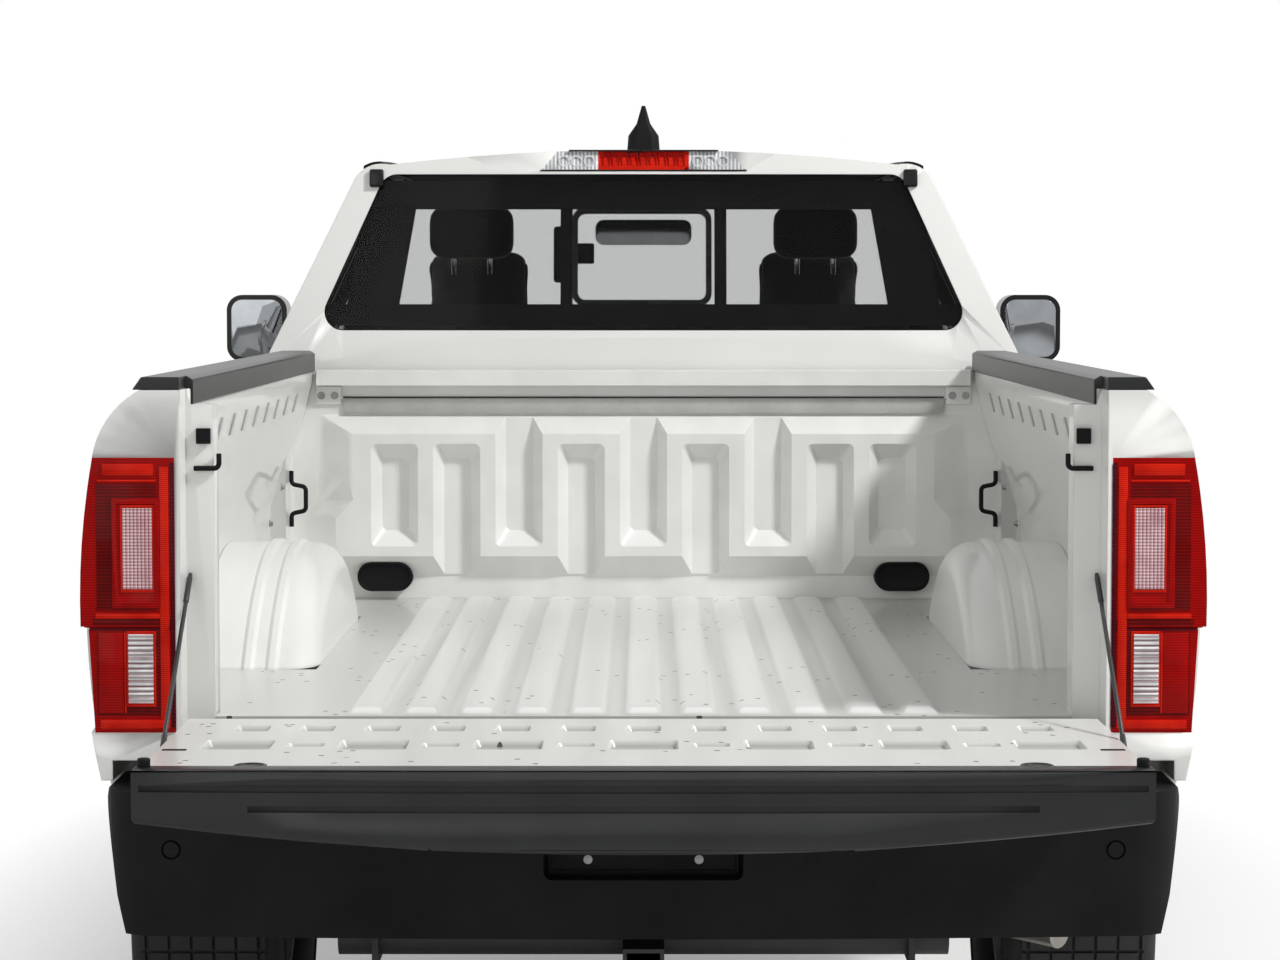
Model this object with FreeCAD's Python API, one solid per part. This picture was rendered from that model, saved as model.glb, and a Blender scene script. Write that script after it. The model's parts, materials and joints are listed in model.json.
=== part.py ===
# Mid-size pickup truck with an extended cab, two rear-hinged half doors and a six-foot bed.
# The tailgate is modelled open, as the truck stands. Lengths are millimetres.
# Every station y is measured back from the front axle, and the finished pieces are then moved
# so that the origin is under the middle of the overall box. The nose points to -Y, the left
# side of the truck is +X, and +Z is up. The tyres touch z = 0.
import FreeCAD, Part
import math
import os
from FreeCAD import Vector

# Overall stations
FRONT_OVERHANG = 917.0
WHEELBASE = 3221.0
TRACK = 1560.0
TAIL_Y = 4328.0
GAP = 6.0
SEAT_GAP = 0.3

# Wheels and tyres
TYRE_RADIUS = 388.0
TYRE_WIDTH = 265.0
BEAD_RADIUS = 216.0
RIM_WIDTH = 206.0
RIM_WALL = 8.0
WHEEL_OFFSET = 45.0
WHEEL_DISC = 16.0
HUB_RADIUS = 78.0
SPOKE_COUNT = 6
SPINDLE_RADIUS = 32.0
SPINDLE_CLEARANCE = 0.05
SPINDLE_SEAT = 8.0
HUB_LENGTH = 70.0
KINGPIN_X = 690.0
BALL_HEIGHT = 145.0
ARCH_RADIUS = 460.0
ARCH_RISE = 12.0
FLARE_HALF = 931.0
FLARE_DEPTH = 75.0
MIRROR_HALF = 1081.0

# Cab section: half widths and heights of the outer skin
SILL_HALF = 862.0
SILL_Z = 470.0
WAIST_HALF = 903.0
WAIST_Z = 850.0
BELT_HALF = 838.0
BELT_Z = 1275.0
CANT_HALF = 622.0
CANT_Z = 1728.0
ROOF_EDGE_HALF = 545.0
ROOF_Z = 1806.0
ROOF_EDGE_DROP = 32.0
ROOF_FRONT_DROP = 16.0
ROOF_REAR_DROP = 18.0

# Cab stations and walls
CAB_FRONT_Y = 402.0
SCREEN_BASE_Y = 395.0
SCREEN_BASE_Z = 1225.0
SCREEN_RUN = 700.0
SCREEN_RISE = 515.0
SCREEN_BOW = 125.0
CAB_BACK_Y = 2392.0
BACK_BASE_Z = 1390.0
BACK_LEAN_RUN = 62.0
BACK_LEAN_RISE = 380.0
BACK_BOW = 14.0
DOOR_WALL = 130.0
PILLAR_WALL = 55.0
ROOF_WALL = 45.0
FLOOR_WALL = 60.0
FIREWALL = 60.0
BACK_WALL = 60.0
LEDGE_DROP = 30.0
GLASS_INSET = 8.0
GLASS_THICK = 6.0

# Door openings
DOOR_FRONT_Y = 650.0
DOOR_MEET_Y = 1720.0
DOOR_REAR_Y = 2150.0
DOOR_BOTTOM_Z = 512.0
DOOR_TOP_Z = 1735.0
HANDLE_Z = 1128.0
HANDLE_FRONT_Y = 1520.0
HANDLE_REAR_Y = 1670.0
HANDLE_OUTSET = 34.0
HANDLE_SIZE = 22.0
PILLAR_FOOT_Z = 1290.0
HINGE_OUTSET = 3.0
WINDOW_FRAME = 58.0
FRONT_DOOR_TAPERS = (0.12, 0.16, 0.35)
REAR_DOOR_TAPERS = (0.24, 0.42, 1.0)

# Windscreen and rear window outlines, seen from the front or back
SCREEN_LOW_HALF = 735.0
SCREEN_LOW_Z = 1262.0
SCREEN_HIGH_HALF = 575.0
SCREEN_HIGH_Z = 1722.0
BACKLIGHT_LOW_HALF = 702.0
BACKLIGHT_LOW_Z = 1405.0
BACKLIGHT_HIGH_HALF = 553.0
BACKLIGHT_HIGH_Z = 1738.0
WINDOW_CORNER = 40.0

# Front end
WING_INNER = 748.0
FOOTWELL_WALL = 28.0
HOOD_HALF = 742.0
HOOD_REAR_Y = 340.0
HOOD_AXIS_Y = HOOD_REAR_Y - 8.0
HOOD_AXIS_Z = 1185.0
HOOD_PIN_RADIUS = 6.0
HOOD_THICK = 38.0
HOOD_FRONT_Z = 1076.0
HOOD_CROWN_REAR = 1252.0
HOOD_VALLEY_HALF = 360.0
HOOD_VALLEY_TAPER = 0.06
HOOD_DOME = 13.0
WING_TOP_Z = HOOD_CROWN_REAR - GAP * 2
BUMPER_TOP_Z = 768.0
BUMPER_LOW_Z = 430.0
BUMPER_WALL = 90.0
BUMPER_DEPTH = 162.0
INTAKE_LOW_HALF = 520.0
INTAKE_HIGH_HALF = 440.0
INTAKE_LOW_Z = 492.0
INTAKE_HIGH_Z = 622.0
FOG_INNER = 600.0
FOG_OUTER = 735.0
FOG_LOW_Z = 545.0
FOG_HIGH_Z = 632.0
FOG_DEPTH = 34.0
GRILLE_WALL = 55.0
GRILLE_FRAME = 34.0
GRILLE_LOW_Z = 706.0
GRILLE_LOW_HALF = 420.0
GRILLE_HALF = 556.0
GRILLE_SHOULDER_Z = 842.0
GRILLE_TOP_HALF = 540.0
GRILLE_SLAT = 10.0
GRILLE_SLATS = 8
GRILLE_BAR = 38.0
GRILLE_BAR_LEVELS = (838.0, 955.0)
LAMP_INNER = 563.0
LAMP_SLANT = 40.0
LAMP_LOW_Z = 880.0
LAMP_REAR_Y = -640.0
LAMP_REAR_SLANT = 70.0
LINER_WALL = 10.0
LINER_INNER = 520.0
LINER_LOW = 265.0

# Bed
BED_FRONT_Y = 2429.0
BED_WALL_FRONT_Y = 2402.0
BED_WALL_HALF = 777.0
BED_WALL_KNEE_Z = 1040.0
BED_WALL_HIGH_HALF = 722.0
BED_WALL_HIGH_Z = 1215.0
BED_RAIL_HALF = 700.0
BED_RAIL_LOW_Z = 1300.0
BED_FLOOR_Z = 835.0
BED_UNDER_DROP = 60.0
BED_SHEET = 8.0
RIDGE_COUNT = 11
RIDGE_PITCH = 86.3
RIDGE_TOP = 35.0
RIDGE_BASE = 60.0
RIDGE_HEIGHT = 10.0
RIDGE_END = 40.0
BED_SILL_HALF = 842.0
BED_SILL_Z = 560.0
BED_WAIST_HALF = 884.0
BED_WAIST_Z = 950.0
BED_SHOULDER_HALF = 866.0
BED_SHOULDER_Z = 1235.0
BED_CORNER_HALF = 846.0
BED_CORNER_Z = 1292.0
BED_TOP_HALF = 792.0
BED_TOP_Z = 1343.0
BED_TAPER_START_Y = 3700.0
BED_TAIL_NARROWING = 24.0
BED_TAIL_SILL_NARROWING = 67.0
BED_SKIN = 70.0
CORNER_POST_INNER = 745.0
CORNER_POST_LENGTH = 131.0
BED_CORNER_LOW_Z = 744.0
BED_CORNER_CUT_Y = 4190.0
CAP_OUTER = 780.0
CAP_HEIGHT = 20.0
CAP_LIP = 24.0
CAP_WALL = 4.0
POST_INNER = 665.0
POST_DEPTH = 55.0
LAMP_FLANGE = 716.0
WHEELHOUSE_HALF = 569.0
WHEELHOUSE_RADIUS = 632.0
WHEELHOUSE_EDGE = 55.0
WHEELHOUSE_SHEET = 10.0
WHEELHOUSE_RIB = 6.0

# Bed front wall pressing
WALL_TOP_Z = 1322.0
WALL_FLANGE_Z = 1290.0
WALL_PRESS_TOP_Z = 1227.0
WALL_PRESS_FACE_TOP_Z = 1188.0
WALL_PRESS_LOW_Z = 929.0
WALL_PRESS_BASE_Z = 884.0
WALL_PRESS_DEPTH = 34.0
WALL_BEAD_Z = 1264.0
WALL_BEAD_RADIUS = 5.0
SLOT_FLOOR_WIDTH = 57.0
SLOT_SIDE_RUN = 21.0
SLOT_END_RUN = 32.0
SLOT_DEPTH = 30.0
SLOT_PITCH = 131.5
SLOT_LONG_LOW_Z = 872.0
SLOT_SHORT_LOW_Z = 982.0
SLOT_CLOSED_TOP_Z = 1135.0
SLOT_OPEN_TOP_Z = 1260.0
SLOT_CORNER = 12.0
POCKET_X = 548.0
POCKET_Z = 885.0
POCKET_HALF_WIDTH = 58.5
POCKET_HALF_HEIGHT = 31.0
POCKET_DEPTH = 7.0

# Tailgate
GATE_AXIS_Y = 4316.0
GATE_AXIS_Z = 795.0
GATE_REACH = 580.0
GATE_HALF = 697.0
GATE_INNER_RISE = 43.0
GATE_OUTER_DROP = 20.0
GATE_HEEL = 12.0
GATE_PIN_RADIUS = 9.0
GATE_PIN_LENGTH = 16.0
GATE_CAP_REACH = 62.0
GATE_CAP_PROUD = 8.0
GATE_CAP_MID_Z = 729.0
GATE_CAP_END_Z = 771.0
GATE_CAP_BOW = 14.0
GATE_CAP_GROOVE = 4.0
GATE_ROOM_Y = GATE_AXIS_Y - GATE_INNER_RISE - GATE_CAP_PROUD - GAP
GATE_ROOM_HALF = LAMP_FLANGE - 8.0
DIMPLE_DEPTH = 9.0
DIMPLE_PITCH = 98.0
DIMPLE_ROW_Y = 120.0
DIMPLE_SECOND_ROW_Y = 290.0
CABLE_RADIUS = 4.5
CABLE_FOOT_RISE = 20.0
CABLE_TOP_Z = 1062.0
CABLE_FOOT_REACH = 262.0

# Tail lamps
TAIL_LAMP_LOW_Z = 818.0
TAIL_LAMP_HIGH_Z = 1240.0
TAIL_LAMP_DEPTH = 82.0
TAIL_LAMP_SPLIT_Z = 979.0
TAIL_LAMP_NOTCH_HALF = 849.0
TAIL_LAMP_LOW_HALF = 840.0

# High brake lamp
HIGH_LAMP_LOW_Z = 1746.0
HIGH_LAMP_LOW_HALF = 219.0
HIGH_LAMP_HIGH_HALF = 151.0

# Rear bumper and hitch
REAR_BUMPER_Y = 4438.0
REAR_BUMPER_HALF = 822.0
REAR_BUMPER_TOP_Z = BED_CORNER_LOW_Z - GAP
REAR_BUMPER_MID_Z = 576.0
REAR_BUMPER_MID_HALF = 801.0
REAR_BUMPER_LOW_Z = 520.0
REAR_BUMPER_LOW_HALF = 786.0
REAR_BUMPER_WALL = 62.0
PLATE_HALF = 150.0
PLATE_LOW_Z = 610.0
PLATE_HIGH_Z = 720.0
SENSOR_X = 713.0
SENSOR_Z = 652.0
SENSOR_RADIUS = 15.0
HITCH_INNER = 50.8
HITCH_WALL = 6.0
HITCH_Z = 470.0
HITCH_REAR_Y = 4420.0
HITCH_LENGTH = 260.0
HITCH_PIN_RADIUS = 8.0

# Frame
RAIL_INNER = 400.0
RAIL_FRONT_INNER = 345.0
RAIL_WIDTH = 80.0
RAIL_HEIGHT = 130.0
RAIL_FRONT_Y = -FRONT_OVERHANG + BUMPER_DEPTH + SEAT_GAP
RAIL_REAR_Y = 4260.0
RAIL_FRONT_Z = 455.0
RAIL_MID_Z = SILL_Z - RAIL_HEIGHT - 12.0
RAIL_KICK_Z = 590.0
RAIL_TAIL_Z = 530.0
MEMBER_LENGTH = 80.0
MEMBER_HEIGHT = 34.0
BED_SILL_HEIGHT = 60.0
BED_SILL_LENGTH = 70.0
BED_SILL_STATIONS = (2489.0, 2909.0, 3648.0, 4178.0)
SUBFRAME_LOW_Z = 205.0
ARM_THICK = 26.0
ARM_TIP_RADIUS = 20.0
SPARE_Y = 3770.0
SPARE_Z = 560.0
PINION_LENGTH = 240.0
AXLE_CASING_RADIUS = 140.0
AXLE_TUBE_RADIUS = 45.0
PINION_RADIUS = 58.0
ENGINE_HALF = 270.0
ENGINE_FRONT_Y = -380.0
ENGINE_REAR_Y = 340.0
ENGINE_LOW_Z = 400.0
ENGINE_HIGH_Z = 1000.0
GEARBOX_LOW_Z = 366.0
GEARBOX_REAR_Y = 1000.0

# Seats
SEAT_X = 400.0
SEAT_Y = 1330.0
SEAT_CUSHION_Z = 850.0
SEAT_HALF = 240.0
SEAT_SHOULDER_HALF = 160.0
SEAT_WAIST_Z = 1330.0
SEAT_BACK_Z = 1585.0
HEAD_HALF = 100.0
HEAD_TOP_Z = 1678.0
REAR_SEAT_TOP_Z = 1460.0

# Trim
MOULDING_INNER = 560.0
MOULDING_OUTER = 600.0
MOULDING_PROUD = 5.0
ANTENNA_Y = 2190.0
ANTENNA_TOP_Z = 1889.0
COWL_TOP_Z = 1160.0
COWL_LOW_Z = 1095.0
MIRROR_GLASS_Z = 1634.0
MIRROR_GLASS_Y = 1046.0

# Bed hardware
HOOK_RADIUS = 4.7
HOOK_TOP_Z = 1112.0
HOOK_LOW_Z = 994.0
HOOK_REACH = 30.0
STRIKER_RADIUS = 4.0
STRIKER_Z = 1220.0
STRIKER_END_X = 656.0

# Steering wheel
STEERING_CENTRE = (370.0, 1130.0, 1080.0)
STEERING_NORMAL = (0.0, 0.883, 0.469)
STEERING_RADIUS = 176.0
STEERING_GRIP = 15.0
COLUMN_LENGTH = 300.0
COLUMN_RADIUS = 36.0

# Small working sizes
BIG = 6000.0
OVER = 20.0

AXLE_Z = TYRE_RADIUS
WHEEL_X = TRACK / 2
GATE_TIP_Y = GATE_AXIS_Y + GATE_REACH
ORIGIN_Y = (GATE_TIP_Y - FRONT_OVERHANG) / 2


# Basic forms
def wire(points, place):
    """Close a wire through the points. A third value marks the middle point of an arc."""
    edges = []
    count = len(points)
    step = 0
    while step < count:
        start = points[step]
        middle = points[(step + 1) % count]
        if len(middle) == 3:
            end = points[(step + 2) % count]
            edges.append(Part.Arc(place(*start[:2]), place(*middle[:2]), place(*end[:2])).toShape())
            step += 2
        else:
            edges.append(Part.makeLine(place(*start[:2]), place(*middle[:2])))
            step += 1
    return Part.Wire(edges)


def along_x(points, low, high):
    """Prism of a (y, z) outline from x = low to x = high."""
    face = Part.Face(wire(points, lambda y, z: Vector(low, y, z)))
    return face.extrude(Vector(high - low, 0, 0))


def along_y(points, low, high):
    """Prism of an (x, z) outline from y = low to y = high."""
    face = Part.Face(wire(points, lambda x, z: Vector(x, low, z)))
    return face.extrude(Vector(0, high - low, 0))


def along_z(points, low, high):
    """Prism of an (x, y) outline from z = low to z = high."""
    face = Part.Face(wire(points, lambda x, y: Vector(x, y, low)))
    return face.extrude(Vector(0, 0, high - low))


def block(low, high):
    """Box between two corners."""
    size = [b - a for a, b in zip(low, high)]
    return Part.makeBox(size[0], size[1], size[2], Vector(*low))


def rod(start, end, radius):
    """Round bar between two points."""
    a = Vector(*start)
    b = Vector(*end)
    return Part.makeCylinder(radius, (b - a).Length, a, b - a)


def bent_tube(points, radius, bend):
    """Round bar along straight runs joined by tangent arcs of one radius."""
    corners = [Vector(*p) for p in points]
    edges = []
    start = corners[0]
    for before, corner, after in zip(corners, corners[1:], corners[2:]):
        inward = (before - corner).normalize()
        outward = (after - corner).normalize()
        half = inward.getAngle(outward) / 2
        reach = bend / math.tan(half)
        first = corner + inward * reach
        last = corner + outward * reach
        bisector = (inward + outward).normalize()
        middle = corner + bisector * (bend / math.sin(half) - bend)
        edges.append(Part.makeLine(start, first))
        edges.append(Part.Arc(first, middle, last).toShape())
        start = last
    edges.append(Part.makeLine(start, corners[-1]))
    path = Part.Wire(edges)
    heading = corners[1] - corners[0]
    ring = Part.Wire(Part.makeCircle(radius, corners[0], heading))
    return path.makePipeShell([ring], True, True)


def spun(points, centre):
    """Turn an (x, radius) outline about the line along X through centre = (y, z)."""
    y, z = centre
    face = Part.Face(wire(points, lambda x, r: Vector(x, y, z + r)))
    return face.revolve(Vector(0, y, z), Vector(1, 0, 0), 360)


def mirrored(shape):
    """The same piece on the other side of the truck."""
    return shape.mirror(Vector(0, 0, 0), Vector(1, 0, 0))


def pair(shape):
    """The left piece and its mirror image in one node."""
    return Part.makeCompound([shape, mirrored(shape)])


def join(shapes):
    """One solid from pieces that touch or overlap."""
    first = shapes[0]
    return first.fuse(shapes[1:]).removeSplitter()


def both(points):
    """A half outline from the bottom edge to the centre line, closed by its mirror image."""
    back = [(-p[0],) + tuple(p[1:]) for p in reversed(points)]
    if points[-1][0] == 0:
        back = back[1:]
    return points + back


def rounded(corners, radius):
    """Outline with a round at each corner of a polygon."""
    result = []
    count = len(corners)
    for index in range(count):
        corner = Vector(corners[index][0], corners[index][1], 0)
        before = Vector(corners[index - 1][0], corners[index - 1][1], 0)
        after = Vector(corners[(index + 1) % count][0], corners[(index + 1) % count][1], 0)
        inward = (before - corner).normalize()
        outward = (after - corner).normalize()
        half = inward.getAngle(outward) / 2
        reach = radius / math.tan(half)
        bisector = (inward + outward).normalize()
        first = corner + inward * reach
        middle = corner + bisector * (radius / math.sin(half) - radius)
        last = corner + outward * reach
        result += [(first.x, first.y), (middle.x, middle.y, True), (last.x, last.y)]
    return result


def arc_through(low, middle, high):
    """Half width at any height of the circle through three (x, z) points."""
    circle = Part.Arc(Vector(*low, 0), Vector(*middle, 0), Vector(*high, 0)).toShape().Curve
    centre = circle.Center
    return lambda z: centre.x + math.sqrt(circle.Radius ** 2 - (z - centre.y) ** 2)


side_x = arc_through((SILL_HALF, SILL_Z), (WAIST_HALF, WAIST_Z), (BELT_HALF, BELT_Z))


# Cab form
def cab_section(y, roof_drop, waist_inset, pillar_inset, roof_inset, floor_z):
    """Closed section of the cab at one station."""
    run = CANT_HALF - BELT_HALF
    rise = CANT_Z - BELT_Z
    length = math.hypot(run, rise)
    shift_x = pillar_inset * rise / length
    shift_z = pillar_inset * -run / length
    ledge = LEDGE_DROP if waist_inset > 0 else 0.0
    middle_z = (floor_z + BELT_Z) / 2
    belt_low = BELT_Z - ledge
    half = [(side_x(floor_z) - waist_inset, floor_z),
            (side_x(middle_z) - waist_inset, middle_z, True),
            (side_x(belt_low) - waist_inset, belt_low)]
    if waist_inset > 0 or pillar_inset > 0:
        half.append((BELT_HALF - shift_x, BELT_Z - shift_z))
    crown = ROOF_Z - roof_drop - roof_inset
    edge = crown - ROOF_EDGE_DROP
    corner_x = (CANT_HALF + ROOF_EDGE_HALF) / 2 - shift_x + (CANT_HALF - ROOF_EDGE_HALF) * 0.2
    corner_z = (CANT_Z + edge) / 2 - shift_z / 2 + (edge - CANT_Z) * 0.2
    half += [(CANT_HALF - shift_x, CANT_Z - shift_z - roof_drop / 2),
             (corner_x, corner_z, True),
             (ROOF_EDGE_HALF - shift_x, edge),
             (0, crown, True)]
    return wire(both(half), lambda x, z: Vector(x, y, z))


def cab_loft(waist_inset, pillar_inset, roof_inset, floor_z):
    """The cab's side and roof skin before the screens are cut."""
    peak_y = (CAB_FRONT_Y + 2 * CAB_BACK_Y) / 3
    stations = ((CAB_FRONT_Y, ROOF_FRONT_DROP), (peak_y, 0.0), (CAB_BACK_Y, ROOF_REAR_DROP))
    sections = [cab_section(y, drop, waist_inset, pillar_inset, roof_inset, floor_z)
                for y, drop in stations]
    return Part.makeLoft(sections, True, False)


def bowed_side(base_y, base_z, bow, run, rise, ahead):
    """Everything behind, or ahead of, a sloping screen that bows out at its middle."""
    bow_y = base_y - bow if not ahead else base_y + bow
    far_y = base_y - BIG if ahead else base_y + BIG
    outline = [(-WAIST_HALF, base_y), (0, bow_y, True), (WAIST_HALF, base_y),
               (WAIST_HALF, far_y), (-WAIST_HALF, far_y)]
    face = Part.Face(wire(outline, lambda x, y: Vector(x, y, base_z)))
    slope = Vector(0, run, rise)
    face.translate(slope * -4)
    return face.extrude(slope * 8)


def screen_side(inset):
    """Everything behind the windscreen's outer face, moved back by inset."""
    grade = math.hypot(SCREEN_RUN, SCREEN_RISE) / SCREEN_RISE
    base = SCREEN_BASE_Y + SCREEN_BOW + inset * grade
    return bowed_side(base, SCREEN_BASE_Z, SCREEN_BOW, SCREEN_RUN, SCREEN_RISE, False)


def back_side(inset):
    """Everything ahead of the leaning upper back of the cab, moved forward by inset."""
    base = CAB_BACK_Y - BACK_BOW - inset
    return bowed_side(base, BACK_BASE_Z, BACK_BOW, -BACK_LEAN_RUN, BACK_LEAN_RISE, True)


def cab_form(waist_inset, pillar_inset, roof_inset, floor_z, front_inset, back_inset):
    """Solid inside the cab's skin at the given depths."""
    loft = cab_loft(waist_inset, pillar_inset, roof_inset, floor_z)
    form = loft.common(screen_side(front_inset)).common(back_side(back_inset))
    ends = block((-BIG, CAB_FRONT_Y + front_inset, 0), (BIG, CAB_BACK_Y - back_inset, BIG))
    return form.common(ends)


def cab_walls():
    """The whole hollow cab: sides, roof, floor, front and back."""
    outer = cab_form(0, 0, 0, SILL_Z, 0, 0)
    inner = cab_form(DOOR_WALL, PILLAR_WALL, ROOF_WALL, SILL_Z + FLOOR_WALL, FIREWALL, BACK_WALL)
    return outer.cut(inner)


def pillar_line_y(z, offset):
    """Station of a line parallel to the windscreen, behind the foot of the front pillar."""
    return DOOR_FRONT_Y + offset + (z - PILLAR_FOOT_Z) * SCREEN_RUN / SCREEN_RISE


def door_outline(front, rear, grow):
    """Side outline of the front door or of the whole opening."""
    low = DOOR_BOTTOM_Z - grow
    high = DOOR_TOP_Z + grow
    lean = grow * math.hypot(SCREEN_RUN, SCREEN_RISE) / SCREEN_RISE
    return [(front - grow, low), (rear + grow, low), (rear + grow, high),
            (pillar_line_y(high, -lean), high), (front - grow, pillar_foot(grow, lean))]


def pillar_foot(grow, lean):
    """Height where the pillar line meets the door's front edge."""
    return PILLAR_FOOT_Z + (lean - grow) * SCREEN_RISE / SCREEN_RUN


def latch_wedges(latch_y, tapers, toward):
    """Wedges that slant a latch face so that the inner edge clears as the door swings."""
    ends = ((SILL_HALF, SILL_Z), (WAIST_HALF, WAIST_Z), (BELT_HALF, BELT_Z), (CANT_HALF, CANT_Z))
    wedges = []
    deep = DOOR_WALL * 2
    for (x0, z0), (x1, z1), taper in zip(ends, ends[1:], tapers):
        chord = Vector(x1 - x0, 0, z1 - z0)
        inward = Vector(z0 - z1, 0, x1 - x0).normalize()
        start = Vector(x0, latch_y, z0)
        side = Vector(0, toward, 0)
        corners = [start - inward * OVER + side * taper * OVER,
                   start + inward * deep - side * taper * deep,
                   start + inward * deep + side * OVER * 10,
                   start - inward * OVER + side * OVER * 10]
        face = Part.Face(Part.makePolygon(corners + [corners[0]]))
        reach = 1.25 if z1 == CANT_Z else 1.0
        wedges.append(face.extrude(chord * reach))
    return wedges


def left_side(shape):
    """Keep what lies on the left of the truck."""
    return shape.common(block((0, -BIG, -BIG), (BIG, BIG, BIG)))


def front_window():
    """Side outline of the front door's glass."""
    low = BELT_Z + GAP
    high = DOOR_TOP_Z - WINDOW_FRAME
    rear = DOOR_MEET_Y - WINDOW_FRAME
    offset = WINDOW_FRAME * math.hypot(SCREEN_RUN, SCREEN_RISE) / SCREEN_RISE
    corners = [(pillar_line_y(low, offset) + OVER, low), (rear, low), (rear, high),
               (pillar_line_y(high, offset), high)]
    return rounded(corners, WINDOW_CORNER / 2)


def rear_side_window():
    """Side outline of the half door's glass."""
    low = BELT_Z + GAP
    high = DOOR_TOP_Z - WINDOW_FRAME
    front = DOOR_MEET_Y + GAP + WINDOW_FRAME * 1.2
    rear = DOOR_REAR_Y - WINDOW_FRAME
    return rounded([(front, low), (rear, low), (rear, high), (front, high)], WINDOW_CORNER)


def side_glass(outline):
    """Glass layer under the side skin inside an outline."""
    outer = cab_loft(0, GLASS_INSET, 0, SILL_Z)
    inner = cab_loft(0, GLASS_INSET + GLASS_THICK, 0, SILL_Z)
    layer = outer.cut(inner)
    return layer.common(along_x(outline, ROOF_EDGE_HALF, WAIST_HALF + OVER)).Solids[0]


def side_wall():
    """The cab's outer form less its inside, with no floor: where the doors lie."""
    outer = cab_form(0, 0, 0, SILL_Z, 0, 0)
    inner = cab_form(DOOR_WALL, PILLAR_WALL, ROOF_WALL, SILL_Z - FLOOR_WALL, FIREWALL, BACK_WALL)
    return outer.cut(inner)


def front_door(walls):
    """Left front door, with its window opening."""
    outline = door_outline(DOOR_FRONT_Y, DOOR_MEET_Y, 0)
    door = walls.common(along_x(outline, ROOF_EDGE_HALF - OVER, BIG))
    door = door.cut(latch_wedges(DOOR_MEET_Y, FRONT_DOOR_TAPERS, 1))
    door = door.cut(along_x(front_window(), 0, BIG))
    return join([door.Solids[0]] + door_handle()).Solids[0]


def door_handle():
    """Bar handle on the left front door."""
    skin = side_x(HANDLE_Z)
    low = HANDLE_Z - HANDLE_SIZE / 2
    high = HANDLE_Z + HANDLE_SIZE / 2
    outer = skin + HANDLE_OUTSET
    bar = along_z([(outer - 16.0, HANDLE_FRONT_Y), (outer, HANDLE_FRONT_Y + 14.0), (outer, HANDLE_REAR_Y - 14.0),
                   (outer - 16.0, HANDLE_REAR_Y)], low, high)
    feet = [block((skin - 8.0, y, low), (outer - 10.0, y + HANDLE_SIZE, high))
            for y in (HANDLE_FRONT_Y + 2.0, HANDLE_REAR_Y - HANDLE_SIZE - 2.0)]
    return [bar] + feet


def rear_door(walls):
    """Left rear half door, hinged at its rear edge."""
    front = DOOR_MEET_Y + GAP
    corners = [(front, DOOR_BOTTOM_Z), (DOOR_REAR_Y, DOOR_BOTTOM_Z),
               (DOOR_REAR_Y, DOOR_TOP_Z), (front, DOOR_TOP_Z)]
    door = walls.common(along_x(corners, ROOF_EDGE_HALF - OVER, BIG))
    door = door.cut(latch_wedges(front, REAR_DOOR_TAPERS, -1))
    return door.cut(along_x(rear_side_window(), 0, BIG)).Solids[0]


def end_window(low_half, low_z, high_half, high_z):
    """Rounded outline of a front or rear screen."""
    corners = [(-low_half, low_z), (low_half, low_z), (high_half, high_z), (-high_half, high_z)]
    return rounded(corners, WINDOW_CORNER)


def windscreen():
    """Bowed windscreen."""
    layer = screen_side(GLASS_INSET).cut(screen_side(GLASS_INSET + GLASS_THICK))
    outline = end_window(SCREEN_LOW_HALF, SCREEN_LOW_Z, SCREEN_HIGH_HALF, SCREEN_HIGH_Z)
    return layer.common(along_y(outline, 0, CAB_BACK_Y - BACK_WALL * 10)).Solids[0]


def rear_window():
    """Rear screen in the cab's back."""
    layer = back_side(GLASS_INSET).cut(back_side(GLASS_INSET + GLASS_THICK))
    outline = end_window(BACKLIGHT_LOW_HALF, BACKLIGHT_LOW_Z, BACKLIGHT_HIGH_HALF, BACKLIGHT_HIGH_Z)
    return layer.common(along_y(outline, CAB_BACK_Y - BACK_WALL * 10, CAB_BACK_Y + OVER)).Solids[0]


def footwell_side():
    """Wall between the left footwell and the wing."""
    outer_x = WING_INNER - OVER
    return block((outer_x - FOOTWELL_WALL, CAB_FRONT_Y, SILL_Z),
                 (outer_x, DOOR_FRONT_Y, WING_TOP_Z))


def cab_shell(walls, door_band):
    """Fixed part of the cab, with its door and window openings."""
    opening = door_outline(DOOR_FRONT_Y, DOOR_REAR_Y, GAP)
    doors = door_band.common(along_x(opening, ROOF_EDGE_HALF - OVER, BIG))
    screen = end_window(SCREEN_LOW_HALF, SCREEN_LOW_Z, SCREEN_HIGH_HALF, SCREEN_HIGH_Z)
    backlight = end_window(BACKLIGHT_LOW_HALF, BACKLIGHT_LOW_Z, BACKLIGHT_HIGH_HALF,
                           BACKLIGHT_HIGH_Z)
    middle_y = (CAB_FRONT_Y + CAB_BACK_Y) / 2
    wing_pocket = block((WING_INNER - OVER, 0, 0), (BIG, DOOR_FRONT_Y, WING_TOP_Z))
    arch = rod((-BIG, 0, AXLE_Z + ARCH_RISE), (BIG, 0, AXLE_Z + ARCH_RISE), ARCH_RADIUS - LINER_WALL)
    tools = [doors, mirrored(doors), along_y(screen, 0, middle_y), arch,
             along_y(backlight, middle_y, BIG),
             wing_pocket, mirrored(wing_pocket), brake_lamp_room()]
    shell = walls.cut(tools)
    sides = [footwell_side(), mirrored(footwell_side())]
    return join([shell] + [side.cut(arch) for side in sides]).Solids[0]


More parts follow.
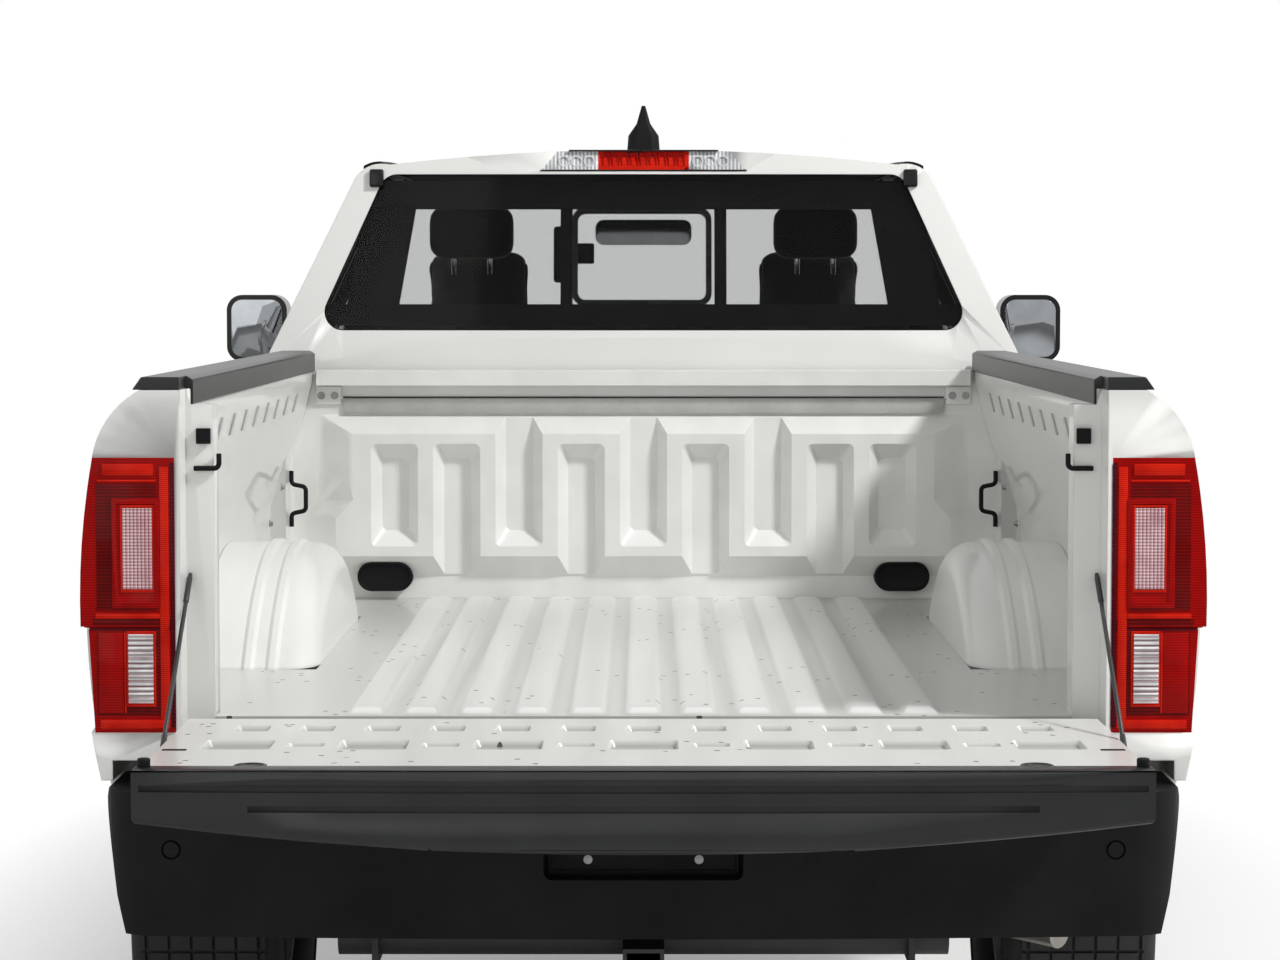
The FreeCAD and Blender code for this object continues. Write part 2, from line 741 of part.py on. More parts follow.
# Front end
def front_section(y, narrowing, shoulder_z, crown_z):
    """Closed section of the front body at one station, with the hood's raised middle."""
    low = BUMPER_LOW_Z
    side_top = shoulder_z - 70.0
    middle = (low + side_top) / 2
    edge_x = WING_INNER + 22.0 - narrowing
    edge_z = shoulder_z + 4.0
    valley_x = HOOD_VALLEY_HALF + y * HOOD_VALLEY_TAPER
    valley_z = (edge_z + crown_z) / 2
    half = [(side_x(low) - narrowing, low),
            (side_x(middle) - narrowing, middle, True),
            (side_x(side_top) - narrowing, side_top),
            (side_x(shoulder_z) - narrowing - 22.0, shoulder_z - 14.0, True),
            (edge_x, edge_z),
            ((edge_x + valley_x) / 2, (edge_z + valley_z) / 2 + HOOD_DOME, True),
            (valley_x, valley_z),
            (valley_x - HOOD_DOME * 2, valley_z + HOOD_DOME),
            (0, crown_z, True)]
    return wire(both(half), lambda x, z: Vector(x, y, z))


def front_form(inset):
    """Solid inside the skin of the front body."""
    stations = ((-FRONT_OVERHANG, 22.0, 1080.0, 1130.0), (-450.0, 4.0, 1140.0, 1190.0),
                (100.0, 0.0, 1180.0, 1228.0), (DOOR_FRONT_Y - GAP, 0.0, 1205.0, HOOD_CROWN_REAR))
    sections = [front_section(y, n + inset, s - inset, c - inset) for y, n, s, c in stations]
    loft = Part.makeLoft(sections, True, False)
    nose = -FRONT_OVERHANG + inset
    wide = WAIST_HALF + OVER - inset
    plan = [(wide, BIG), (wide, nose + 520.0), (wide - 45.0, nose + 230.0, True),
            (wide - 190.0, nose + 80.0), (0, nose, True), (-wide + 190.0, nose + 80.0),
            (-wide + 45.0, nose + 230.0, True), (-wide, nose + 520.0), (-wide, BIG)]
    side = [(BIG, 0), (nose + 50.0, 0), (nose, BUMPER_LOW_Z + 130.0), (nose, BUMPER_TOP_Z),
            (nose + 30.0, 900.0), (nose + 45.0, 1030.0, True), (nose + 130.0, 1105.0 - inset),
            (nose + 400.0, 1400.0), (BIG, 1400.0)]
    return loft.common(along_z(plan, 0, BIG)).common(along_x(side, -BIG, BIG))


def arch_cutter(y, low_x, high_x, radius):
    """Round cutter of a wheel arch on the left side."""
    return rod((low_x, y, AXLE_Z + ARCH_RISE), (high_x, y, AXLE_Z + ARCH_RISE), radius)


def arch_flare(y, skin_x, low_z):
    """Raised lip round a wheel arch on the left side."""
    outline = [(skin_x, ARCH_RADIUS), (FLARE_HALF, ARCH_RADIUS), (FLARE_HALF, ARCH_RADIUS + 16.0),
               (FLARE_HALF - 34.0, ARCH_RADIUS + FLARE_DEPTH), (skin_x, ARCH_RADIUS + FLARE_DEPTH)]
    ring = spun(outline, (y, AXLE_Z + ARCH_RISE))
    return ring.common(block((0, -BIG, low_z), (BIG, BIG, BIG)))


def headlamp_room(grow):
    """Space of the left headlamp, with a slanted inner and rear edge."""
    low = LAMP_LOW_Z - grow
    high = HOOD_FRONT_Z - GAP + grow
    front = [(LAMP_INNER - grow, high), (LAMP_INNER + LAMP_SLANT - grow, low), (BIG, low), (BIG, high)]
    side = [(-BIG, low), (LAMP_REAR_Y - LAMP_REAR_SLANT + grow, low), (LAMP_REAR_Y + grow, high), (-BIG, high)]
    return along_y(front, -BIG, 0).common(along_x(side, 0, BIG))


def front_wing(form):
    """Left front wing with its arch lip and wheelhouse liner."""
    room = block((WING_INNER, -FRONT_OVERHANG, SILL_Z), (BIG, DOOR_FRONT_Y - GAP, BIG))
    panel = form.common(room)
    bumper_room = block((0, -BIG, 0), (BIG, 0, BUMPER_TOP_Z + GAP / 2))
    arch = arch_cutter(0, 0, BIG, ARCH_RADIUS)
    panel = panel.cut([headlamp_room(SEAT_GAP), bumper_room])
    flare = arch_flare(0, WAIST_HALF - 60.0, SILL_Z)
    flare = flare.cut(block((0, -BIG, 0), (BIG, 0, BUMPER_TOP_Z + GAP / 2)))
    outer = ARCH_RADIUS + LINER_WALL
    liner = arch_cutter(0, LINER_INNER, WING_INNER + 40.0, outer)
    liner = liner.common(block((0, -BIG, AXLE_Z + ARCH_RISE + LINER_LOW), (BIG, BIG, BIG)))
    pin_hole = rod((WING_INNER - OVER, HOOD_AXIS_Y, HOOD_AXIS_Z),
                   (WING_INNER + HOOD_PIN_RADIUS * 3, HOOD_AXIS_Y, HOOD_AXIS_Z),
                   HOOD_PIN_RADIUS + SPINDLE_CLEARANCE)
    flange = form.common(block((WING_INNER - OVER + SEAT_GAP, CAB_FRONT_Y + SEAT_GAP, SILL_Z),
                               (WING_INNER + GAP, DOOR_FRONT_Y - GAP, BIG)))
    return join([panel, flare, liner, flange]).cut([arch, pin_hole]).Solids[0]


def grille_outline(grow):
    """Six-sided outline of the grille, seen from the front."""
    return both([(GRILLE_LOW_HALF + grow, GRILLE_LOW_Z - grow), (GRILLE_HALF + grow, GRILLE_SHOULDER_Z),
                 (GRILLE_TOP_HALF + grow, HOOD_FRONT_Z - GAP - OVER / 2 + grow)])


def fog_pocket():
    """Pocket of the left fog lamp."""
    corners = [(FOG_INNER, FOG_LOW_Z), (FOG_OUTER, FOG_LOW_Z), (FOG_OUTER, FOG_HIGH_Z),
               (FOG_INNER + OVER, FOG_HIGH_Z)]
    return along_y(rounded(corners, 14.0), -BIG, 0).cut(front_form(FOG_DEPTH))


def front_bumper(form):
    """Wrap-round front bumper with its lower intake, and the panel round the grille."""
    room = block((-BIG, -FRONT_OVERHANG, BUMPER_LOW_Z), (BIG, -300.0, BUMPER_TOP_Z))
    inner = block((-WAIST_HALF + BUMPER_WALL, -FRONT_OVERHANG + BUMPER_DEPTH, 0),
                  (WAIST_HALF - BUMPER_WALL, BIG, BIG))
    intake = rounded([(-INTAKE_LOW_HALF, INTAKE_LOW_Z), (INTAKE_LOW_HALF, INTAKE_LOW_Z),
                      (INTAKE_HIGH_HALF, INTAKE_HIGH_Z), (-INTAKE_HIGH_HALF, INTAKE_HIGH_Z)], 25.0)
    arch = rod((-BIG, 0, AXLE_Z + ARCH_RISE), (BIG, 0, AXLE_Z + ARCH_RISE), ARCH_RADIUS)
    upper = block((-WING_INNER + GAP, -BIG, BUMPER_TOP_Z - 1.0),
                  (WING_INNER - GAP, -300.0, HOOD_FRONT_Z - GAP))
    panel = form.cut(front_form(GRILLE_WALL)).common(upper)
    pocket = fog_pocket()
    lamp = headlamp_room(SEAT_GAP)
    tools = [along_y(intake, -BIG, 0), arch, pocket, mirrored(pocket), lamp, mirrored(lamp),
             along_y(grille_outline(SEAT_GAP), -BIG, 0)]
    bar = form.common(room).cut(inner)
    return join([bar, panel]).cut(tools).Solids[0]


def grille():
    """Grille frame with two heavy bars, thin slats and uprights."""
    field = along_y(grille_outline(0.0), -BIG, 0)
    window = along_y(grille_outline(-GRILLE_FRAME), -BIG, 0)
    frame = front_form(4.0).cut(front_form(GRILLE_WALL)).common(field).cut(window)
    pieces = [frame]
    heavy = front_form(10.0).cut(front_form(44.0)).common(window)
    for z in GRILLE_BAR_LEVELS:
        pieces.append(heavy.common(block((-BIG, -BIG, z - GRILLE_BAR / 2), (BIG, 0, z + GRILLE_BAR / 2))))
    layer = front_form(24.0).cut(front_form(44.0)).common(window)
    low = GRILLE_LOW_Z + GRILLE_FRAME
    pitch = (HOOD_FRONT_Z - GRILLE_FRAME - low) / (GRILLE_SLATS + 1)
    for index in range(GRILLE_SLATS):
        z = low + pitch * (index + 1)
        pieces.append(layer.common(block((-BIG, -BIG, z - GRILLE_SLAT / 2), (BIG, 0, z + GRILLE_SLAT / 2))))
    for x in (-360.0, -180.0, 0.0, 180.0, 360.0):
        pieces.append(layer.common(block((x - GRILLE_SLAT / 2, -BIG, 0), (x + GRILLE_SLAT / 2, 0, BIG))))
    return join(pieces).Solids[0]


def headlamp(form):
    """Left headlamp, wrapping round the corner."""
    inner = block((-BIG, -FRONT_OVERHANG + 190.0, -BIG), (WING_INNER - OVER, BIG, BIG))
    return form.common(headlamp_room(0)).cut(inner).Solids[0]


def hood(form):
    """Hood panel, hinged at its rear edge."""
    inner = front_form(HOOD_THICK)
    room = block((-HOOD_HALF, -BIG, HOOD_FRONT_Z), (HOOD_HALF, HOOD_REAR_Y, BIG))
    panel = form.cut(inner).common(room).Solids[0]
    pins = [rod((side * (HOOD_HALF - OVER), HOOD_AXIS_Y, HOOD_AXIS_Z),
                (side * (WING_INNER + HOOD_PIN_RADIUS * 2), HOOD_AXIS_Y, HOOD_AXIS_Z), HOOD_PIN_RADIUS)
            for side in (1, -1)]
    return join([panel] + pins).Solids[0]


# Bed
def bed_section(y, narrowing, sill_narrowing):
    """Closed outer section of the bed at one station."""
    half = [(BED_SILL_HALF - sill_narrowing, BED_SILL_Z),
            (BED_WAIST_HALF - narrowing, BED_WAIST_Z, True),
            (BED_SHOULDER_HALF - narrowing, BED_SHOULDER_Z),
            (BED_CORNER_HALF - narrowing, BED_CORNER_Z, True),
            (BED_TOP_HALF - narrowing, BED_TOP_Z)]
    return wire(both(half), lambda x, z: Vector(x, y, z))


def bed_form():
    """Outer form of the bed's sides."""
    stations = ((BED_WALL_FRONT_Y, 0.0, 0.0), (3000.0, 0.0, 0.0), (BED_TAPER_START_Y, 0.0, 0.0),
                (TAIL_Y, BED_TAIL_NARROWING, BED_TAIL_SILL_NARROWING))
    return Part.makeLoft([bed_section(y, n, s) for y, n, s in stations], True, False)


def tail_lamp_room():
    """Space of the left tail lamp in the bedside's corner."""
    return block((LAMP_FLANGE, TAIL_Y - TAIL_LAMP_DEPTH, TAIL_LAMP_LOW_Z),
                 (BIG, BIG, TAIL_LAMP_HIGH_Z))


def tailgate_room():
    """Space that the closed tailgate takes behind the posts, on the left."""
    return block((0, GATE_ROOM_Y, 0), (GATE_ROOM_HALF, BIG, BIG))


def bed_outline(low_z, high_z):
    """Cross section of the space between the two bed walls."""
    return both([(BED_WALL_HALF, low_z), (BED_WALL_HALF, BED_WALL_KNEE_Z),
                 (BED_WALL_HIGH_HALF, BED_WALL_HIGH_Z), (BED_RAIL_HALF, BED_RAIL_LOW_Z),
                 (BED_RAIL_HALF, high_z)])


def bedside(form):
    """Left side of the bed: outer skin, inner wall, posts and top rail in one wall."""
    side = left_side(form)
    low = BED_FLOOR_Z - BED_UNDER_DROP
    post_y = GATE_ROOM_Y - POST_DEPTH
    corner = block((CORNER_POST_INNER, BED_FRONT_Y, BED_FLOOR_Z + SEAT_GAP),
                   (BIG, BED_FRONT_Y + CORNER_POST_LENGTH, BIG))
    room = along_y(bed_outline(low, BIG), 0, post_y).cut(corner)
    behind = block((0, 0, low), (POST_INNER, BIG, BIG))
    cap_room = block((0, 0, BED_TOP_Z - CAP_LIP - SEAT_GAP), (BED_RAIL_HALF, BIG, BIG))
    under = block((0, -BIG, 0), (BED_WAIST_HALF - BED_SKIN, BIG, low))
    arch = arch_cutter(WHEELBASE, 0, BIG, ARCH_RADIUS)
    flare = arch_flare(WHEELBASE, BED_WAIST_HALF - 50.0, BED_SILL_Z)
    bumper_room = block((0, BED_CORNER_CUT_Y, 0), (BIG, BIG, BED_CORNER_LOW_Z))
    pin = rod((GATE_HALF, GATE_AXIS_Y, GATE_AXIS_Z),
              (GATE_HALF + GATE_PIN_LENGTH + 1.0, GATE_AXIS_Y, GATE_AXIS_Z),
              GATE_PIN_RADIUS + SPINDLE_CLEARANCE)
    tools = [tailgate_room(), room, behind, cap_room, under, arch, bumper_room, tail_lamp_room(), pin]
    return join([side, flare]).cut(tools).Solids[0]


def wheelhouse_form(inset, rib):
    """Rounded drum over the left rear tyre, above the bed floor."""
    radius = WHEELHOUSE_RADIUS - inset
    low = WHEELHOUSE_HALF + inset
    edge = WHEELHOUSE_EDGE - inset
    mid = edge * (1 - math.sqrt(0.5))
    outline = [(low, 200.0), (low, radius - edge), (low + mid, radius - mid, True),
               (low + edge, radius), (BED_WALL_HALF + OVER, radius),
               (BED_WALL_HALF + OVER, 200.0)]
    drum = spun(outline, (WHEELBASE, AXLE_Z))
    if rib:
        for x in (WHEELHOUSE_HALF + 66.0, WHEELHOUSE_HALF + 108.0):
            drum = drum.fuse(spun([(x, radius - OVER), (x + 7.0, radius + rib),
                                   (x + 17.0, radius + rib), (x + 24.0, radius - OVER)],
                                  (WHEELBASE, AXLE_Z)))
    return drum.common(block((-BIG, -BIG, BED_FLOOR_Z), (BIG, BIG, BIG)))


def wheelhouse():
    """Left wheelhouse pressing in the bed."""
    outer = wheelhouse_form(0, WHEELHOUSE_RIB)
    outer = outer.common(block((0, -BIG, 0), (BED_WALL_HALF, BIG, BIG)))
    return outer.cut(wheelhouse_form(WHEELHOUSE_SHEET, 0)).Solids[0]


def bed_floor():
    """Ribbed floor sheet with its cross sills."""
    front = BED_FRONT_Y
    rear = GATE_AXIS_Y - math.hypot(GATE_INNER_RISE, GATE_HEEL) - GAP
    post_y = GATE_ROOM_Y - POST_DEPTH - SEAT_GAP
    inner = POST_INNER - SEAT_GAP
    low = BED_FLOOR_Z - BED_SHEET
    plan = [(BED_WALL_HALF, front), (BED_WALL_HALF, post_y), (inner, post_y), (inner, rear)]
    sheet = along_z(both(plan), low, BED_FLOOR_Z)
    lip_top = GATE_AXIS_Z - GATE_HEEL - GAP
    lip_low = lip_top - BED_SHEET / 2
    lip_end = GATE_AXIS_Y - GATE_HEEL - GAP
    inside = BED_FLOOR_Z - BED_SHEET / 2
    front_face = rear - BED_SHEET
    ridges = [along_x([(front_face, inside), (front_face, lip_low), (lip_end, lip_low),
                       (lip_end, lip_top), (rear, lip_top), (rear, inside)], -inner, inner)]
    first = -(RIDGE_COUNT - 1) / 2 * RIDGE_PITCH
    for index in range(RIDGE_COUNT):
        ridges.append(floor_ridge(first + index * RIDGE_PITCH, front + GAP, rear - OVER / 2))
    sills = []
    for y in BED_SILL_STATIONS:
        sills.append(block((-RAIL_INNER - RAIL_WIDTH, y, BED_FLOOR_Z - BED_SHEET - BED_SILL_HEIGHT),
                           (RAIL_INNER + RAIL_WIDTH, y + BED_SILL_LENGTH, BED_FLOOR_Z - BED_SHEET)))
    return join([sheet] + ridges + sills).cut(floor_openings()).Solids[0]


def floor_openings():
    """Cut-outs of the floor sheet under both wheelhouses."""
    low = BED_FLOOR_Z - BED_SHEET
    chord = math.sqrt(WHEELHOUSE_RADIUS ** 2 - (BED_FLOOR_Z - AXLE_Z) ** 2)
    cutter = block((WHEELHOUSE_HALF, WHEELBASE - chord, low - 80.0),
                   (BED_WALL_HALF + OVER, WHEELBASE + chord, BED_FLOOR_Z + OVER))
    return [cutter, mirrored(cutter)]


def floor_ridge(x, front, rear):
    """One raised rib of the floor, with sloping sides and ends."""
    low = BED_FLOOR_Z
    high = BED_FLOOR_Z + RIDGE_HEIGHT
    base = Part.makePolygon([Vector(x - RIDGE_BASE / 2, front, low), Vector(x + RIDGE_BASE / 2, front, low),
                             Vector(x + RIDGE_BASE / 2, rear, low), Vector(x - RIDGE_BASE / 2, rear, low),
                             Vector(x - RIDGE_BASE / 2, front, low)])
    start = front + RIDGE_END
    end = rear - RIDGE_END
    top = Part.makePolygon([Vector(x - RIDGE_TOP / 2, start, high), Vector(x + RIDGE_TOP / 2, start, high),
                            Vector(x + RIDGE_TOP / 2, end, high), Vector(x - RIDGE_TOP / 2, end, high),
                            Vector(x - RIDGE_TOP / 2, start, high)])
    return Part.makeLoft([base, top], True, True)


def wall_slot(x, low_z, high_z):
    """One tall slot pressed into the front wall, with sloping sides and ends."""
    floor_y = BED_FRONT_Y + WALL_PRESS_DEPTH - SLOT_DEPTH
    wires = []
    for share in (0.0, 1.5):
        half = SLOT_FLOOR_WIDTH / 2 + SLOT_SIDE_RUN * share
        end = SLOT_END_RUN * share
        corners = [(x - half, low_z - end), (x + half, low_z - end), (x + half, high_z + end), (x - half, high_z + end)]
        y = floor_y + SLOT_DEPTH * share
        wires.append(wire(rounded(corners, SLOT_CORNER), lambda u, v, y=y: Vector(u, y, v)))
    return Part.makeLoft(wires, True, True)


def wall_pressing():
    """Raised field of the front wall, wider below its shoulder."""
    base = [(725.0, WALL_PRESS_BASE_Z), (725.0, 1000.0), (693.0, 1040.0), (684.0, WALL_PRESS_TOP_Z)]
    face = [(650.0, WALL_PRESS_LOW_Z), (650.0, 1008.0), (613.0, 1048.0), (613.0, WALL_PRESS_FACE_TOP_Z)]
    wires = []
    for y, half in ((BED_FRONT_Y, base), (BED_FRONT_Y + WALL_PRESS_DEPTH, face)):
        wires.append(wire(both(half), lambda u, v, y=y: Vector(u, y, v)))
    return Part.makeLoft(wires, True, True)


def bed_front_wall():
    """Front wall of the bed: flange, bead, slotted pressing and pockets."""
    back = BED_WALL_FRONT_Y + GAP
    sheet = along_y(bed_outline(BED_FLOOR_Z - BED_SHEET, WALL_TOP_Z), back, BED_FRONT_Y)
    clear_half = BED_RAIL_HALF - CAP_WALL - GAP
    flange = block((-clear_half, back, WALL_FLANGE_Z),
                   (clear_half, BED_FRONT_Y + WALL_PRESS_DEPTH, WALL_TOP_Z))
    bead = rod((-clear_half, BED_FRONT_Y, WALL_BEAD_Z), (clear_half, BED_FRONT_Y, WALL_BEAD_Z), WALL_BEAD_RADIUS)
    wall = join([sheet, flange, bead, wall_pressing()])
    slots = []
    for step, low_z, high_z in ((0, SLOT_SHORT_LOW_Z, SLOT_OPEN_TOP_Z), (1, SLOT_LONG_LOW_Z, SLOT_CLOSED_TOP_Z),
                                (2, SLOT_SHORT_LOW_Z, SLOT_OPEN_TOP_Z), (3, SLOT_LONG_LOW_Z, SLOT_CLOSED_TOP_Z),
                                (4, SLOT_SHORT_LOW_Z, SLOT_CLOSED_TOP_Z)):
        for side in sorted({step, -step}):
            slots.append(wall_slot(side * SLOT_PITCH, low_z, high_z))
    field = block((-BIG, BED_FRONT_Y, 0), (BIG, BIG, WALL_PRESS_TOP_Z))
    slots = [slot.common(field) for slot in slots]
    pockets = [pocket_form(side, SEAT_GAP, 0.0) for side in (1, -1)]
    return wall.cut(slots + pockets).Solids[0]


def pocket_form(side, grow, inset):
    """Oval pocket low in the front wall."""
    half = POCKET_HALF_WIDTH + grow - inset
    rise = POCKET_HALF_HEIGHT + grow - inset
    x = side * POCKET_X
    flat = half - rise
    outline = [(x - flat, POCKET_Z - rise), (x + flat, POCKET_Z - rise), (x + half, POCKET_Z, True),
               (x + flat, POCKET_Z + rise), (x - flat, POCKET_Z + rise), (x - half, POCKET_Z, True)]
    return along_y(outline, BED_FRONT_Y - POCKET_DEPTH + inset / 4, BED_FRONT_Y + GAP / 2)


def rail_cap():
    """Left rail cap."""
    rear = TAIL_Y - 4.0
    top = BED_TOP_Z + CAP_HEIGHT
    lip = BED_RAIL_HALF - SEAT_GAP
    shell = along_y([(lip - CAP_WALL, BED_TOP_Z - CAP_LIP), (lip - CAP_WALL, top - 6.0),
                     (lip + 6.0, top), (CAP_OUTER - 14.0, top), (CAP_OUTER, BED_TOP_Z + SEAT_GAP),
                     (lip, BED_TOP_Z + SEAT_GAP), (lip, BED_TOP_Z - CAP_LIP)],
                    BED_FRONT_Y, rear)
    return shell.cut(tailgate_room()).Solids[0]


def form_inside_lamp(form):
    """The tail corner less the skin that the lamp's dividing groove runs in."""
    depth = 5.0
    moved = form.copy()
    moved.translate(Vector(-depth, -depth, 0))
    return moved


def tail_lamp(form):
    """Left tail lamp, flush with the bedside."""
    notch = along_y([(TAIL_LAMP_NOTCH_HALF, TAIL_LAMP_SPLIT_Z), (TAIL_LAMP_LOW_HALF, TAIL_LAMP_LOW_Z - 1.0),
                     (BIG, TAIL_LAMP_LOW_Z - 1.0), (BIG, TAIL_LAMP_SPLIT_Z)], 0, BIG)
    groove = form.cut(form_inside_lamp(form)).common(block((0, 0, TAIL_LAMP_SPLIT_Z - 3.0),
                                                           (BIG, BIG, TAIL_LAMP_SPLIT_Z + 2.0)))
    return form.common(tail_lamp_room()).cut([notch, groove]).Solids[0]


def tailgate_panel():
    """Tailgate, lying open, with pressed dimples in its inner face."""
    low = GATE_AXIS_Z - GATE_OUTER_DROP
    high = GATE_AXIS_Z + GATE_INNER_RISE
    near = GATE_AXIS_Y - GATE_HEEL
    far = GATE_AXIS_Y + GATE_REACH - GATE_CAP_REACH
    outline = [(near, high - 14.0), (near + 14.0, high), (far, high), (far, low + 6.0),
               (near + 60.0, low), (near, low + 20.0)]
    panel = along_x(outline, -GATE_HALF, GATE_HALF)
    dimples = []
    count = 13
    for index in range(count):
        x = (index - (count - 1) / 2) * DIMPLE_PITCH
        dimples.append(dimple(x, near + DIMPLE_ROW_Y, 56.0, 62.0, high))
        width = 104.0 if index % 2 == 0 else 58.0
        length = 96.0 if index % 2 == 0 else 40.0
        dimples.append(dimple(x, near + DIMPLE_SECOND_ROW_Y, width, length, high))
    panel = panel.cut(dimples)
    pins = [rod((side * (GATE_HALF - OVER), GATE_AXIS_Y, GATE_AXIS_Z),
                (side * (GATE_HALF + GATE_PIN_LENGTH), GATE_AXIS_Y, GATE_AXIS_Z), GATE_PIN_RADIUS)
            for side in (1, -1)]
    return join([panel] + pins).Solids[0]


def dimple(x, y, width, length, top):
    """Pressed dish with sloping sides, open upwards."""
    wires = []
    for z, grow in ((top - DIMPLE_DEPTH, 0.0), (top + DIMPLE_DEPTH, 18.0)):
        half_x = width / 2 - 6.0 + grow / 2
        half_y = length / 2 - 6.0 + grow / 2
        corners = [(x - half_x, y - half_y), (x + half_x, y - half_y), (x + half_x, y + half_y), (x - half_x, y + half_y)]
        wires.append(wire(rounded(corners, 8.0), lambda u, v, z=z: Vector(u, v, z)))
    return Part.makeLoft(wires, True, True)


def cap_plan(inset):
    """Plan outline of the tailgate's cap, bowed out at its middle."""
    near = GATE_AXIS_Y + GATE_REACH - GATE_CAP_REACH
    tip = GATE_AXIS_Y + GATE_REACH - inset
    half = GATE_HALF
    return [(-half, near), (half, near), (half, tip - GATE_CAP_BOW), (0, tip, True), (-half, tip - GATE_CAP_BOW)]


def tailgate_cap():
    """Plastic cap along the tailgate's top edge, its lower lip bowed down at the middle."""
    near = GATE_AXIS_Y + GATE_REACH - GATE_CAP_REACH
    tip = GATE_AXIS_Y + GATE_REACH
    high = GATE_AXIS_Z + GATE_INNER_RISE + GATE_CAP_PROUD
    skin = GATE_AXIS_Z - GATE_OUTER_DROP
    half = GATE_HALF
    slab = along_z(cap_plan(0.0), GATE_CAP_MID_Z, high)
    side = [(near, high - 7.0), (near + 9.0, high), (tip - 16.0, high), (tip, high - 12.0),
            (tip, GATE_CAP_MID_Z + 16.0), (tip - 12.0, GATE_CAP_MID_Z), (tip - 20.0, GATE_CAP_MID_Z),
            (near + 14.0, skin - 7.0), (near, skin - 7.0)]
    front = [(-half, GATE_CAP_END_Z), (0, GATE_CAP_MID_Z, True), (half, GATE_CAP_END_Z), (half, high),
             (-half, high)]
    cap = slab.common(along_x(side, -BIG, BIG)).common(along_y(front, near - 1.0, tip + 1.0))
    for low_z, high_z, reach in ((815.0, 824.0, half - 10.0), (788.0, 797.0, 538.0)):
        groove = along_z(cap_plan(-OVER), low_z, high_z).cut(along_z(cap_plan(GATE_CAP_GROOVE), low_z, high_z))
        cap = cap.cut(groove.common(block((-reach, near, 0), (reach, BIG, BIG))))
    return cap.Solids[0]


def tailgate_cable():
    """Left tailgate cable, tight from the post to the open tailgate's side."""
    x = GATE_HALF + CABLE_RADIUS + SEAT_GAP
    top = (x, GATE_ROOM_Y + CABLE_RADIUS + SEAT_GAP, CABLE_TOP_Z)
    foot = (x, GATE_AXIS_Y + CABLE_FOOT_REACH, GATE_AXIS_Z + CABLE_FOOT_RISE)
    return rod(top, foot, CABLE_RADIUS)


def rear_bumper():
    """Step bumper with a plate recess, wrapped round the bed's lower corners."""
    rear = REAR_BUMPER_Y
    front = BED_CORNER_CUT_Y + GAP
    half = REAR_BUMPER_HALF
    wall = REAR_BUMPER_WALL
    plan = [(-half, front), (-half, rear - 110.0), (-half + 20.0, rear - 62.0, True), (-half + 75.0, rear - 26.0),
            (0, rear, True), (half - 75.0, rear - 26.0), (half - 20.0, rear - 62.0, True), (half, rear - 110.0),
            (half, front)]
    bar = along_z(plan, REAR_BUMPER_LOW_Z, REAR_BUMPER_TOP_Z)
    section = both([(REAR_BUMPER_LOW_HALF, REAR_BUMPER_LOW_Z), (REAR_BUMPER_MID_HALF, REAR_BUMPER_MID_Z),
                    (half, REAR_BUMPER_TOP_Z - OVER), (half - 6.0, REAR_BUMPER_TOP_Z)])
    bar = bar.common(along_y(section, 0, BIG))
    step_z = REAR_BUMPER_TOP_Z - 24.0
    hollow = block((-half + wall, -BIG, 0), (half - wall, rear - wall, step_z))
    ahead = block((-half + wall, -BIG, 0), (half - wall, TAIL_Y + GAP, BIG))
    recess = rounded([(-PLATE_HALF, PLATE_LOW_Z), (PLATE_HALF, PLATE_LOW_Z),
                      (PLATE_HALF, PLATE_HIGH_Z), (-PLATE_HALF, PLATE_HIGH_Z)], 12.0)
    tools = [hollow, ahead, along_y(recess, rear - 34.0, BIG)]
    for side in (1, -1):
        centre = (side * SENSOR_X, rear - 60.0, SENSOR_Z)
        ring = rod(centre, (side * SENSOR_X, rear, SENSOR_Z), SENSOR_RADIUS)
        button = rod(centre, (side * SENSOR_X, rear, SENSOR_Z), SENSOR_RADIUS - 3.0)
        skin = bar.common(rod((side * SENSOR_X, 0, SENSOR_Z), (side * SENSOR_X, BIG, SENSOR_Z), SENSOR_RADIUS))
        depth = skin.BoundBox.YMax - 9.0
        tools.append(ring.cut(button).common(block((-BIG, depth, 0), (BIG, BIG, BIG))))
    bar = bar.cut(tools)
    brackets = [block((side * RAIL_INNER + min(0, side) * RAIL_WIDTH, RAIL_REAR_Y + SEAT_GAP, RAIL_TAIL_Z + 30.0),
                      (side * RAIL_INNER + max(0, side) * RAIL_WIDTH, rear - wall, RAIL_TAIL_Z + 100.0))
                for side in (1, -1)]
    return join([bar] + brackets).Solids[0]


# Wheels and running gear
def tyre(x, y):
    """Tyre ring on its rim."""
    w = TYRE_WIDTH / 2
    seat = RIM_WIDTH / 2
    outline = [(x - seat, BEAD_RADIUS), (x - w, BEAD_RADIUS + 88.0, True), (x - w + 16.0, TYRE_RADIUS - 14.0),
               (x - w + 24.0, TYRE_RADIUS - 4.0, True), (x - w + 40.0, TYRE_RADIUS),
               (x + w - 40.0, TYRE_RADIUS), (x + w - 24.0, TYRE_RADIUS - 4.0, True),
               (x + w - 16.0, TYRE_RADIUS - 14.0), (x + w, BEAD_RADIUS + 88.0, True), (x + seat, BEAD_RADIUS)]
    return spun(outline, (y, AXLE_Z))


